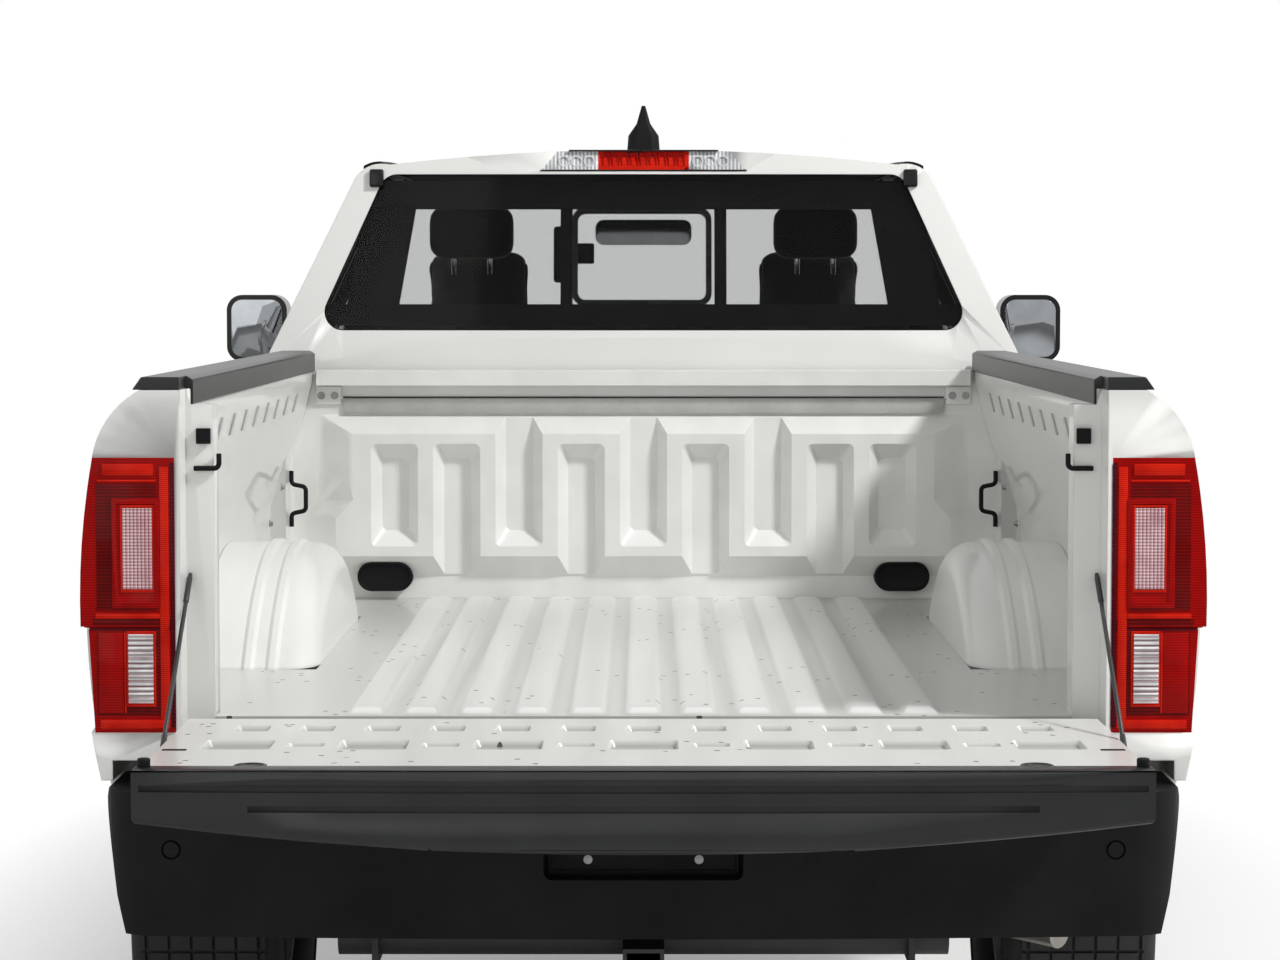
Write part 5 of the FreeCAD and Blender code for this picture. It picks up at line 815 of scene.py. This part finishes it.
def tail_lamp_parts():
    """The left lamp's frames, bands, reflectors and edges, each with its finish: bright red lines, bands and
    edges that are partly painted highlight, a plum split line of painted purple highlight and a deep red
    groove of painted shade.
    """
    return [
        lamp_plate("inner_edge", (716.5, 826), (723, 1232), "plum_edge"),
        lamp_plate("column", (725, 838), (739, 1226), "bright_red", 1.6),
        # Bright red band, partly painted highlight.
        lamp_plate("top_band", (748, 1213), (826, 1231), "bright_red", 2.0),
        # Painted highlight: a bright line under the top band.
        lamp_plate("top_line", (744, 1203), (834, 1206), "bright_red", 1.6),
        lamp_plate("field", (744, 1006), (836, 1200), "deep_red", 0.6),
        lamp_frame("upper_frame", (739, 1010), (812, 1178), "red_lens", 9, 3.2, 2.0),
        # Bright red seat round the reflector, its edges partly painted highlight.
        lamp_frame("upper_seat", (747, 1034), (799, 1168), "bright_red", 3, 2.6, 1.4),
        ribbed_reflector("upper_reflector", (750, 1039), (796, 1163), "pink_reflector", 5.75, False),
        # Painted highlight: the bright orange line above the split.
        lamp_plate("level_line", (739, 994), (838, 1001), "bright_red", 2.2),
        # Painted shade: a flat deep red plate where the groove is.
        lamp_plate("groove_painted_shade", (723, 983), (842, 992), "deep_red", 0.6),
        # Painted purple highlight along the split line.
        lamp_plate("split", (716.5, 975), (846, 978), "plum_edge", 0.8),
        lamp_plate("low_field", (725, 845), (836, 974), "deep_red", 0.5),
        lamp_plate("low_block", (795, 848), (834, 972), "red_lens", 2.4, 2.0),
        # Painted highlight along the block's edge.
        lamp_plate("block_edge", (791.5, 848), (794.5, 972), "bright_red", 2.8),
        # Bright red seat round the lower reflector, its edges partly painted highlight.
        lamp_frame("lower_seat", (746, 858), (791, 974), "bright_red", 3, 2.4, 1.2),
        ribbed_reflector("lower_reflector", (750, 863), (788, 970), "clear_reflector", 8.9, True),
        # Bright red band, partly painted highlight.
        lamp_plate("low_band", (725, 824), (832, 838), "bright_red", 2.0),
    ]


def tail_lamps():
    """Both tail lamps: the moulded lens and what shows behind it."""
    dressed("tail_lamps", "red_lens", 4.0,
            regions=(("plum_edge", lambda c, n: abs(n.x) > 0.7 and n.x * c.x < 0),))
    for key, piece in tail_lamp_parts():
        done(across(piece, piece.name + "_right"), key)
        done(piece, key)


BRAKE_RED_HALF = 97.0
BRAKE_CELLS = 9
BRAKE_CELL_PITCH = 20.0
BRAKE_BOWLS = 3
BRAKE_BOWL_X = 116.0
BRAKE_BOWL_PITCH = 27.0


def high_brake_lamp():
    """Roof lamp: a red middle between two clear ends, in a dark rim."""
    low, high = (spot(corner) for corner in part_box("high_brake_lamp"))
    lens = skin_of("high_brake_lamp")
    for x in (-BRAKE_RED_HALF, BRAKE_RED_HALF):
        cut_across(lens, (x, high.y, high.z), (1, 0, 0))
    give(lens, "clear_lamp", "bright_red")
    for face in lens.data.polygons:
        face.material_index = int(abs(spot(face.center).x) < BRAKE_RED_HALF)
    done(lens, ("clear_lamp", "bright_red"), stands_for=("high_brake_lamp",))
    cells = block("high_brake_lamp_cells", (-88, high.y - 14, low.z + 7), (-72, high.y - 1.5, high.z - 9))
    tray(cells, lambda c, n: n.y > 0.9, 2.5, -3)
    done(row(cells, BRAKE_CELLS, (BRAKE_CELL_PITCH, 0, 0)), "red_lens")
    for side, sign in SIDES:
        middle = (sign * BRAKE_BOWL_X, high.y - 6, low.z + 20)
        bowls = round_bar("high_brake_lamp_bowls_" + side, middle, 12, 10, "Y", 24)
        tray(bowls, lambda c, n: n.y > 0.9, 2.5, -5)
        done(row(bowls, BRAKE_BOWLS, (sign * BRAKE_BOWL_PITCH, 0, 0)), "plated")
    for name, z, half in (("low", low.z - 1.5, 221), ("top", high.z - 5.0, 160)):
        rim = block("high_brake_lamp_rim_" + name, (-half, high.y - 6, z), (half, high.y + 1.5, z + 3.5))
        done(rounded(rim, 1.2), "gloss_black")


# Rear window
WINDOW_LEAN = 9.3
WINDOW_Y = 2366.0
WINDOW_Z = 1404.0
BORDER_Y = WINDOW_Y - 8.0
BORDER_TOP = 1668.0
BORDER_FOOT = 1462.0
BORDER_SIDE = 505.0
BORDER_SLANT = 9.5


def leaning(piece, turn_y, turn_z, degrees):
    """Tilts a piece about a level line across the truck."""
    return turned(piece, "X", degrees, (0, turn_y, turn_z))


def on_window(piece, key):
    """Finishes a piece that was drawn upright and leans with the rear window."""
    return done(leaning(piece, WINDOW_Y, WINDOW_Z, WINDOW_LEAN), key)


def loop_frame(name, low, high, y, width, depth, corner):
    """A frame with round corners that stands in a plane across the truck, from (x, z) to (x, z)."""
    piece = round_corners(block(name, (low[0], y, low[1]), (high[0], y + depth, high[1])), corner, 6)
    with editing(piece, lambda c, n: abs(n.y) > 0.9):
        bpy.ops.mesh.inset(thickness=width * MM)
        bpy.ops.mesh.bridge_edge_loops()
    return tidy(rounded(piece, 2.0, angle=60))


def rear_window_fittings():
    """The sliding pane's frame with its latch, and the rails of the fixed panes, behind the glass."""
    y = WINDOW_Y
    on_window(loop_frame("slider_frame", (-146, 1460), (153, 1672), y - 16, 12, 10, 26), "gloss_black")
    on_window(loop_frame("slider_bead", (-136, 1470), (143, 1662), y - 17, 2.5, 4, 20), "zinc")
    latch = block("slider_latch", (146, y - 32, 1512), (193, y - 16, 1634))
    on_window(rounded(latch, 7, 3), "cabin")
    thumb = block("slider_latch_thumb", (106, y - 30, 1553), (150, y - 18, 1597))
    on_window(rounded(thumb, 4, 3), "cabin")
    for side, sign in SIDES:
        rail = block("fixed_pane_rail_" + side, (sign * 178, y - 20, 1440), (sign * 152, y - 12, 1700))
        on_window(rounded(rail, 3), "seal")


def window_border():
    """The black fired border behind the rear glass: it leaves three panes clear."""
    y = BORDER_Y
    pieces = [block("glass_border_top", (-620, y, BORDER_TOP), (620, y + 3, BORDER_TOP + 62)),
              block("glass_border_foot", (-690, y, BORDER_FOOT - 46), (690, y + 3, BORDER_FOOT))]
    for side, sign in SIDES:
        bar = block("glass_border_" + side, (sign * BORDER_SIDE, y, BORDER_FOOT - 20),
                    (sign * (BORDER_SIDE + 110), y + 3, BORDER_TOP + 20))
        middle = (sign * BORDER_SIDE, y, (BORDER_FOOT + BORDER_TOP) / 2)
        pieces.append(turned(bar, "Y", -sign * BORDER_SLANT, middle))
    for piece in pieces:
        on_window(piece, "seal")


def roof_moulding_ends():
    """The roof mouldings' black ends on the cab's rear corners."""
    for side, sign in SIDES:
        end = block("roof_moulding_end_" + side, (sign * 556, 2312, 1712), (sign * 586, 2346, 1750))
        done(leaning(rounded(end, 4, 3), 2346, 1712, WINDOW_LEAN), "gloss_black")


# Tailgate, its cap and cables
GATE_TOP_Z = 838.0
CAP_TOP_Z = 846.0
CABLE_X = 701.8
CABLE_TOP = (4263.0, 1056.0)
CABLE_FOOT = (4578.0, 815.0)


def tailgate_fittings():
    """Bump knobs, latch covers and cable studs on the open tailgate."""
    for side, sign in SIDES:
        knob = round_bar("gate_knob_" + side, (sign * 683, 4856, CAP_TOP_Z + 4), 9, 16, "Z", 20)
        done(rounded(knob, 2.5, 3), "bumper", "tailgate")
        cover = round_bar("gate_latch_cover_" + side, (sign * 540, 4838, GATE_TOP_Z + 1), 23, 14, "Z", 28)
        tray(cover, lambda c, n: n.z > 0.9, 4, -2)
        done(rounded(cover, 2, 3), "cap", "tailgate")
        stud = round_bar("cable_stud_" + side, (sign * 694, *CABLE_FOOT), 8, 14, "X", 20)
        done(rounded(stud, 1.5), "zinc", "tailgate")
        slot = block("gate_cable_slot_" + side, (sign * 655, 4640, GATE_TOP_Z - 1),
                     (sign * 690, 4652, GATE_TOP_Z + 0.8))
        done(rounded(slot, 0.6), "seal", "tailgate")
        hinge = block("gate_hinge_cup_" + side, (sign * 672, 4302, 783), (sign * 704, 4330, 806))
        done(rounded(hinge, 6, 3), "zinc", "tailgate")


def stay_cable(side, sign):
    """A stay cable in its sleeve, with a crimped ferrule at each end, drawn out from body to gate."""
    top = at(sign * CABLE_X, *CABLE_TOP)
    foot = at(sign * CABLE_X, *CABLE_FOOT)
    run = foot - top
    turn = run.to_track_quat("Z", "Y").to_euler()
    parts = []
    for name, start, end, radius in (("sleeve", 0.0, 1.0, 3.4), ("ferrule_top", 0.02, 0.16, 4.4),
                                     ("ferrule_foot", 0.88, 0.98, 4.4)):
        clear()
        bpy.ops.mesh.primitive_cylinder_add(vertices=14, radius=radius * MM, depth=run.length * (end - start),
                                            location=top + run * ((start + end) / 2), rotation=turn)
        parts.append(rounded(settled(bpy.context.active_object, "cable_" + name + "_" + side), 0.8))
    cable = joined("stay_cable_" + side, parts)
    bpy.ops.object.shade_smooth_by_angle(angle=math.radians(40))
    give(cable, "cable")
    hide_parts("tailgate_cables")
    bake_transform(cable)


# Bed hardware
HEADER_HALF = 636.0
HEADER_Y = 2430.0
WALL_SLOTS = 9
WALL_SLOT_START = 2700.0
WALL_SLOT_PITCH = 165.0
WALL_SLOT_SIZE = (40.0, 16.0)
WALL_BOLTS = ((2620, 1085), (2620, 1010), (3980, 1085), (3980, 1010))
WALL_BEND_Z = 1040.0
WALL_SLOPE = 0.28


def bolt(name, centre, radius, axis, sign, height=5.0):
    """A hexagon bolt head on its washer."""
    step = Vector({"X": (1, 0, 0), "Y": (0, 1, 0), "Z": (0, 0, 1)}[axis]) * sign
    centre = Vector(centre)
    washer = round_bar(name + "_washer", centre + step * 0.8, radius * 1.5, 1.6, axis, 20)
    head = round_bar(name, centre + step * (1.6 + height / 2), radius, height, axis, 6)
    tray(head, lambda c, n: n.dot(step) > 0.9, radius * 0.25, 0.8)
    return done(joined(name, [head, washer]), "zinc")


def wall_slots(side, sign):
    """A row of slots along the top of the bed's side wall, drawn as flat grey plates painted with the shade
    of their hollows.
    """
    # Each slot's grey is painted shade, not a recess.
    slots = [laid_on("wall_slots_" + side, "bedside_" + side,
                     (sign * 704, WALL_SLOT_START + WALL_SLOT_PITCH * number, 1262), *WALL_SLOT_SIZE)
             for number in range(WALL_SLOTS)]
    done(joined("wall_slots_" + side, slots), "band")


def bed_fittings():
    """The header's grey band of painted shade, wall slots, plugs, corner gussets and bolts in the bed."""
    y = HEADER_Y
    # A grey band painted with the shadow under the header's flange.
    band = block("bed_header_band", (-HEADER_HALF, y, 1230), (HEADER_HALF, y + 7, 1262))
    done(rounded(band, 2), "band")
    done(block("bed_header_seam", (-HEADER_HALF, y, 1263), (HEADER_HALF, y + 5, 1266)), "seal")
    for side, sign in SIDES:
        wall_slots(side, sign)
    for side, sign in SIDES:
        plug = block("wall_plug_" + side, (sign * 490, y - 4, 854), (sign * 606, y + 26, 916))
        tray(round_corners(plug, 30, 8), lambda c, n: n.y > 0.9, 6, -5)
        done(rounded(plug, 1.5), "bumper")
        gusset = block("corner_gusset_" + side, (sign * 640, y - 1, 1249), (sign * 694, y + 6, 1288))
        done(rounded(gusset, 2.5, 3), "bed")
        for number, x in enumerate((654, 682)):
            bolt("gusset_bolt_" + side + "_" + str(number), (sign * x, y + 6, 1268), 5.5, "Y", 1)
        for number, (bolt_y, z) in enumerate(WALL_BOLTS):
            wall_x = 760 - (z - WALL_BEND_Z) * WALL_SLOPE if z > WALL_BEND_Z else 772
            bolt("wall_bolt_" + side + "_" + str(number), (sign * wall_x, bolt_y, z), 5.0, "X", -sign)


# Bumpers, plate housing and plain trim
PLATE_SCREWS = ((-84, 636), (84, 636), (-84, 700), (84, 700))
BUMPER_PAINT_Z = 640.0
CAP_LIP_Z = 776.0
CAP_EDGE_Z = 840.0


def plate_housing():
    """A bare plate holder in the rear bumper, with its screws and two lamps."""
    holder = block("plate_holder", (-146, 4402, 613), (146, 4410, 716))
    tray(holder, lambda c, n: n.y > 0.9, 7, -4)
    done(rounded(holder, 2.5, 3), "bumper")
    for number, (x, z) in enumerate(PLATE_SCREWS):
        bolt("plate_screw_" + str(number), (x, 4406, z), 4.5, "Y", 1, height=3.0)
    for side, sign in SIDES:
        lamp_piece = block("plate_lamp_" + side, (sign * 158, 4424, 700), (sign * 196, 4434, 716))
        done(rounded(lamp_piece, 2.5, 3), "clear_lamp")


def gate_cap():
    """The tailgate's cap, with a round top edge and a rounder lower lip."""
    cap = melted(skin_of("tailgate_cap"))
    for wanted, radius in ((lambda c, n: n.z < -0.5 and c.z < CAP_LIP_Z, 8),
                           (lambda c, n: n.z > 0.9 and c.z > CAP_EDGE_Z, 5)):
        with editing(cap, wanted):
            bpy.ops.mesh.region_to_loop()
            bpy.ops.mesh.bevel(offset=radius * MM, segments=3)
    done(cap, "cap", "tailgate", ("tailgate_cap",))


def plain_trim():
    """Moulded trim that keeps its solid's shape, with rounded edges."""
    painted = (("enamel", lambda c, n: c.z > BUMPER_PAINT_Z and n.y < 0.4 and not inward(c, n)),)
    dressed("front_bumper", "bumper", 3.0, painted, cuts=(((0, 0, BUMPER_PAINT_Z), (0, 0, 1)),))
    dressed("rear_bumper", "bumper", 4.0)
    gate_cap()
    for node, key, edge in (("rail_caps", "cap", 3.0), ("grille", "gloss_black", 1.5),
                            ("body_trim", "bumper", 1.5), ("bed_hardware", "bumper", 1.0),
                            ("dashboard", "cabin", 8.0), ("steering_wheel", "cabin", 0.0)):
        dressed(node, key, edge)
    dressed("interior_mirror", "gloss_black", 2.0, (("mirror", lambda c, n: n.y > 0.9),))


def door_mirrors():
    """Mirror housings with silvered glass in a dark rim."""
    for side, sign in SIDES:
        dressed("mirror_" + side, "gloss_black", 5.0)
        glass = block("mirror_glass_" + side, (sign * 937, 903, 1314), (sign * 1069, 907, 1463))
        done(rounded(round_corners(glass, 28, 5), 1.0), "mirror", "front_door_" + side)


# Seats
SEAT_X = 400.0
SEAT_HALF = 215.0
BACK_HALF = 205.0
RESTRAINT_HALF = 98.0
SEAT_CHANNEL = 120.0
BACK_CHANNEL = 115.0
BACK_LEAN = 15.0
BACK_WAIST = 0.6
POST_SPREAD = 42.0
CHANNEL_DEPTH = 5.0
SWELL = 22.0
SWELL_STEPS = 20


def creased(piece, places, depth):
    """Sews channels into a pad: cuts its skin along planes and draws the cuts in."""
    for place, normal in places:
        with editing(piece):
            bpy.ops.mesh.select_mode(type="VERT")
            bpy.ops.mesh.bisect(plane_co=at(*place), plane_no=normal)
            bpy.ops.transform.shrink_fatten(value=-depth * MM)


def stuffed(piece, voxel, reach, pressure=4.0):
    """Swells a closed form as foam does under its cover, by simulated cloth, as far as its reach."""
    take(piece)
    piece.data.remesh_voxel_size = voxel * MM
    bpy.ops.object.voxel_remesh()
    starts = [vertex.co.copy() for vertex in piece.data.vertices]
    cloth = piece.modifiers.new("cover", "CLOTH")
    cloth.settings.use_pressure = True
    cloth.settings.uniform_pressure_force = pressure
    cloth.settings.effector_weights.gravity = 0
    for step in range(1, SWELL_STEPS + 1):
        bpy.context.scene.frame_set(step)
    bpy.ops.object.modifier_apply(modifier="cover")
    bpy.context.scene.frame_set(1)
    for vertex, start in zip(piece.data.vertices, starts):
        move = vertex.co - start
        if move.length > reach * MM:
            vertex.co = start + move * (reach * MM / move.length)


def pad(name, low, high, crown, voxel, lean=0.0, waist=1.0, channels=()):
    """A cushion: a block with round edges and a crowned face, swollen, sewn and smoothed."""
    piece = block(name, low, high)
    if waist != 1.0:
        with editing(piece, lambda c, n: n.z > 0.9):
            bpy.ops.transform.resize(value=(waist, 1, 1))
    rounded(piece, crown, 4)
    stuffed(piece, voxel, SWELL)
    creased(piece, channels, CHANNEL_DEPTH)
    modify(piece, "SUBSURF", levels=1, render_levels=1)
    return leaning(piece, low[1], low[2], lean) if lean else piece


def planes(axis, *places):
    """Planes across one axis, each as a place on it and its normal."""
    found = []
    for place in places:
        point, normal = [0, 0, 0], [0, 0, 0]
        point["XYZ".index(axis)] = place
        normal["XYZ".index(axis)] = 1
        found.append((point, normal))
    return found


def seat_pads(pads):
    """Finishes pads that stand for the seats."""
    for piece in pads:
        done(piece, "seat", stands_for=("seats",), angle=60)


def front_seats():
    """Both front seats, each pad with its twin, on their bases."""
    x = SEAT_X
    cushion = pad("seat_cushion_left", (x - SEAT_HALF, 1080, 690), (x + SEAT_HALF, 1560, 815), 45, 11,
                  channels=planes("X", x - SEAT_CHANNEL, x + SEAT_CHANNEL) + planes("Y", 1380))
    back = pad("seat_back_left", (x - BACK_HALF, 1535, 800), (x + BACK_HALF, 1640, 1608), 42, 11,
               BACK_LEAN, BACK_WAIST,
               planes("X", x - BACK_CHANNEL, x + BACK_CHANNEL) + planes("Z", 1120, 1330))
    head = pad("head_restraint_left", (x - RESTRAINT_HALF, 1700, 1562), (x + RESTRAINT_HALF, 1775, 1684),
               34, 8)
    for piece in (cushion, back, head):
        seat_pads((piece, across(piece, piece.name.replace("_left", "_right"))))
    for side, sign in SIDES:
        base = block("seat_base_" + side, (sign * (x - 190), 1120, 532), (sign * (x + 190), 1540, 690))
        tray(base, lambda c, n: abs(n.x) > 0.9, 30, -12)
        done(rounded(base, 10, 3), "cabin")
        for number, offset in enumerate((-POST_SPREAD, POST_SPREAD)):
            foot = (sign * (x + offset), 1737, 1560)
            post = round_bar("head_post_" + side + "_" + str(number), foot, 6, 70, "Z", 14)
            done(rounded(post, 1), "plated")


def rear_bench():
    """The upright rear bench, in one cushion and one back."""
    seat_pads((pad("rear_bench_cushion", (-585, 1990, 560), (585, 2285, 735), 45, 15,
                   channels=planes("X", 0)),
               pad("rear_bench_back", (-600, 2215, 750), (600, 2295, 1440), 36, 15,
                   channels=planes("X", 0, -300, 300))))


# Wheels
TREAD_STEPS = 76
TYRE_WIDTH = 265.0
TYRE_RADIUS = 388.0
TREAD_DEPTH = 8.0
TREAD_GROOVE = 2.6
BEAD_RADIUS = 216.0
SIDE_BAND = (250.0, 342.0)
HUB_FACE = WHEEL_X + 73.0
NUTS = 6
NUT_CIRCLE = 56.0
SPARE_Y = 3770.0
SPARE_RIM = 214.0


def turned_tyre():
    """A tyre about the front axle's middle: a section spun round, with blocks raised on its tread."""
    clear()
    carcass = TYRE_RADIUS - TREAD_DEPTH
    bpy.ops.mesh.primitive_plane_add(size=1.0, location=at(0, 0, AXLE_Z + (BEAD_RADIUS + carcass) / 2),
                                     rotation=TURNS["Y"])
    tyre = bpy.context.active_object
    tyre.scale = (TYRE_WIDTH * MM, (carcass - BEAD_RADIUS) * MM, 1)
    settled(tyre, "tyre")

    def on_tread(edge):
        ends = [spot(tyre.data.vertices[index].co) for index in edge.vertices]
        return all(abs(end.z - AXLE_Z - carcass) < 0.5 for end in ends)

    with editing(tyre):
        bpy.ops.mesh.select_mode(type="VERT")
        bpy.ops.mesh.bevel(offset=34 * MM, segments=4, affect="VERTICES")
        bpy.ops.mesh.select_all(action="SELECT")
        bpy.ops.mesh.delete(type="ONLY_FACE")
        choose(tyre, "EDGE", on_tread)
        bpy.ops.mesh.subdivide(number_cuts=4)
        bpy.ops.mesh.select_all(action="SELECT")
        bpy.ops.mesh.spin(steps=TREAD_STEPS, angle=math.tau, center=at(0, 0, AXLE_Z), axis=(1, 0, 0))
    tidy(tyre)
    with editing(tyre, lambda c, n: math.hypot(c.y, c.z - AXLE_Z) > carcass - 2 and abs(n.x) < 0.3):
        bpy.ops.mesh.inset(thickness=TREAD_GROOVE * MM, use_individual=True)
        push(TREAD_DEPTH - 0.6)
    return tray(tyre, lambda c, n: between(math.hypot(c.y, c.z - AXLE_Z), SIDE_BAND) and abs(n.x) > 0.9,
                12, -3.0)


def wheel_details(side, sign, axle, y):
    """Nuts, a centre cap, a valve and a brake disc for one wheel."""
    body = axle + "_wheel_" + side
    nuts = []
    for number in range(NUTS):
        angle = math.tau * number / NUTS + 0.3
        place = (sign * (HUB_FACE + 6), y + NUT_CIRCLE * math.cos(angle),
                 AXLE_Z + NUT_CIRCLE * math.sin(angle))
        nut = round_bar("wheel_nut", place, 11, 14, "X", 6)
        nuts.append(tray(nut, lambda c, n: n.x * sign > 0.9, 3.5, 2.5))
    done(joined(axle + "_wheel_nuts_" + side, nuts), "zinc", body)
    cap = round_bar(axle + "_centre_cap_" + side, (sign * (HUB_FACE + 4), y, AXLE_Z), 33, 10, "X", 36)
    tray(cap, lambda c, n: n.x * sign > 0.9, 6, -2.5)
    done(rounded(cap, 1.5), "gloss_black", body)
    disc = round_bar(axle + "_brake_disc_" + side, (sign * (WHEEL_X + 4), y, AXLE_Z), 162, 22, "X", 56)
    tray(disc, lambda c, n: n.x * sign > 0.9, 60, 10)
    done(rounded(disc, 1.5), "disc", body)
    valve = round_bar(axle + "_valve_" + side, (sign * (WHEEL_X + 66), y + 172, AXLE_Z), 4, 34, "X", 12)
    done(rounded(valve, 1.2), "seal", body)


def wheels():
    """Four tyres, the spare, and what the rims carry."""
    master = turned_tyre()
    for axle, y in (("front", 0.0), ("rear", WHEELBASE)):
        for side, sign in SIDES:
            tyre = moved(copied(master, axle + "_tread_" + side), (sign * WHEEL_X, y, 0))
            done(tyre, "rubber", axle + "_wheel_" + side, (axle + "_tyre_" + side,), 35)
            dressed(axle + "_rim_" + side, "alloy", 2.0)
            wheel_details(side, sign, axle, y)
    bpy.data.objects.remove(master)
    in_rim = (("frame", lambda c, n: math.hypot(c.x, c.y - SPARE_Y) < SPARE_RIM),)
    dressed("spare_wheel", "rubber", regions=in_rim)


# Front lamps and wipers
HEADLAMP_BOWLS = ((655, -800, 46), (775, -755, 52))
HEADLAMP_Z = 972.0
WIPER_SPANS = ((-560, 30), (60, 650))


def bowl(name, centre, radius, depth):
    """A plated bowl that faces forwards, in two steps."""
    piece = round_bar(name, centre, radius, depth, "Y", 40)
    with editing(piece, lambda c, n: n.y < -0.9):
        bpy.ops.mesh.inset(thickness=3 * MM)
        for share in (0.7, 0.5):
            push(-depth * 0.35)
            bpy.ops.transform.resize(value=(share, 1, share))
    return done(piece, "plated")


def headlamps():
    """Clear covers over dark housings with plated bowls, and the fog lamps' bowls."""
    cover = modify(skin_of("headlamps"), "SOLIDIFY", thickness=3 * MM, offset=-1)
    done(cover, "cover", stands_for=("headlamps",))
    for side, sign in SIDES:
        for number, (x, y, radius) in enumerate(HEADLAMP_BOWLS):
            bowl("headlamp_bowl_" + side + "_" + str(number), (sign * x, y, HEADLAMP_Z), radius, 60)
        back = block("headlamp_back_" + side, (sign * 600, -745, 892), (sign * 860, -722, 1062))
        tray(back, lambda c, n: n.y < -0.9, 14, -6)
        done(rounded(back, 5), "gloss_black")
        bar = block("headlamp_bar_" + side, (sign * 610, -812, 1040), (sign * 800, -780, 1052))
        done(rounded(bar, 4, 3), "clear_lamp")
        bowl("fog_bowl_" + side, (sign * 668, -850, 590), 38, 26)


def wipers():
    """Two wiper blades, parked along the windscreen's foot and bent to its curve."""
    for number, (x0, x1) in enumerate(WIPER_SPANS):
        blade = block("wiper_blade_" + str(number), (x0, 470, 1290), (x1, 478, 1312))
        with editing(blade):
            bpy.ops.mesh.subdivide(number_cuts=12)
        modify(blade, "SHRINKWRAP", target=frame["nodes"]["windscreen"], wrap_mode="OUTSIDE_SURFACE",
               wrap_method="NEAREST_SURFACEPOINT", offset=5 * MM)
        done(modify(blade, "SOLIDIFY", thickness=6 * MM, offset=1), "seal")


FUEL_LID = (900.0, 2700.0, 1080.0)
FUEL_LID_SIZE = 150.0
FUEL_LID_SEAM = 157.0


def fuel_door():
    """The filler's lid on the left bedside, proud of the dark seam round it."""
    lid = laid_on("fuel_lid", "bedside_left", FUEL_LID, FUEL_LID_SIZE, FUEL_LID_SIZE)
    seam = laid_on("fuel_lid_seam", "bedside_left", FUEL_LID, FUEL_LID_SEAM, FUEL_LID_SEAM)
    done(moved(lid, (0.8, 0, 0)), "enamel")
    done(seam, "seal")


# Stage, lamps and camera
def lamp(name, place, target, size, power):
    """A square soft lamp that faces its target, both in Blender's metres."""
    light = bpy.data.lights.new(name, "AREA")
    light.size = size
    light.energy = power
    holder = bpy.data.objects.new(name, light)
    holder.location = place
    holder.rotation_euler = (Vector(target) - Vector(place)).to_track_quat("-Z", "Y").to_euler()
    bpy.context.scene.collection.objects.link(holder)


def white_world():
    """White behind the truck and in what it mirrors, with less of it as light."""
    world = bpy.data.worlds.new("studio_white")
    bpy.context.scene.world = world
    world.use_nodes = True
    tree = world.node_tree
    tree.nodes.clear()
    rays = add(tree, "ShaderNodeLightPath").outputs
    seen = maths(tree, "MAXIMUM", rays["Is Camera Ray"], rays["Is Glossy Ray"])
    seen = maths(tree, "MAXIMUM", seen, rays["Is Transmission Ray"])
    strength = add(tree, "ShaderNodeMapRange", Value=seen, To_Min=0.3, To_Max=1.0)
    back = add(tree, "ShaderNodeBackground", Color=linear("FFFFFF"), Strength=strength.outputs["Result"])
    add(tree, "ShaderNodeOutputWorld", Surface=back.outputs["Background"])


def photo_camera():
    """The photograph's camera, level across the truck and tipped down a little."""
    camera = bpy.data.cameras.new("photo_camera")
    camera.lens = CAMERA_LENS
    camera.sensor_width = 36.0
    camera.shift_x = -PHOTO_CENTRE_SHIFT / PHOTO_WIDTH
    holder = bpy.data.objects.new("photo_camera", camera)
    holder.location = at(0, TAIL_Y + CAMERA_BEHIND_TAIL, CAMERA_HEIGHT)
    holder.rotation_euler = (math.radians(90 - CAMERA_PITCH), 0, math.pi)
    bpy.context.scene.collection.objects.link(holder)
    bpy.context.scene.camera = holder


def stage():
    """Floor, world, lamps and camera."""
    clear()
    bpy.ops.mesh.primitive_plane_add(size=60.0, location=(0, 0, 0))
    floor = bpy.context.active_object
    floor.name = "pale_floor"
    floor.data.materials.append(pale_floor())
    white_world()
    lamp("key_lamp", (-4.2, 3.6, 5.8), (0, 1.0, 0.9), 0.8, 370)
    lamp("fill_lamp", (3.0, 6.5, 3.0), (0, 1.2, 0.9), 4.5, 55)
    photo_camera()
    bpy.context.scene.view_settings.view_transform = "Standard"


painted_body()
wheelhouses()
plain_trim()
tail_lamps()
high_brake_lamp()
rear_window_fittings()
window_border()
roof_moulding_ends()
tailgate_fittings()
for side, sign in SIDES:
    stay_cable(side, sign)
bed_fittings()
plate_housing()
door_mirrors()
front_seats()
rear_bench()
wheels()
headlamps()
wipers()
fuel_door()
stage()
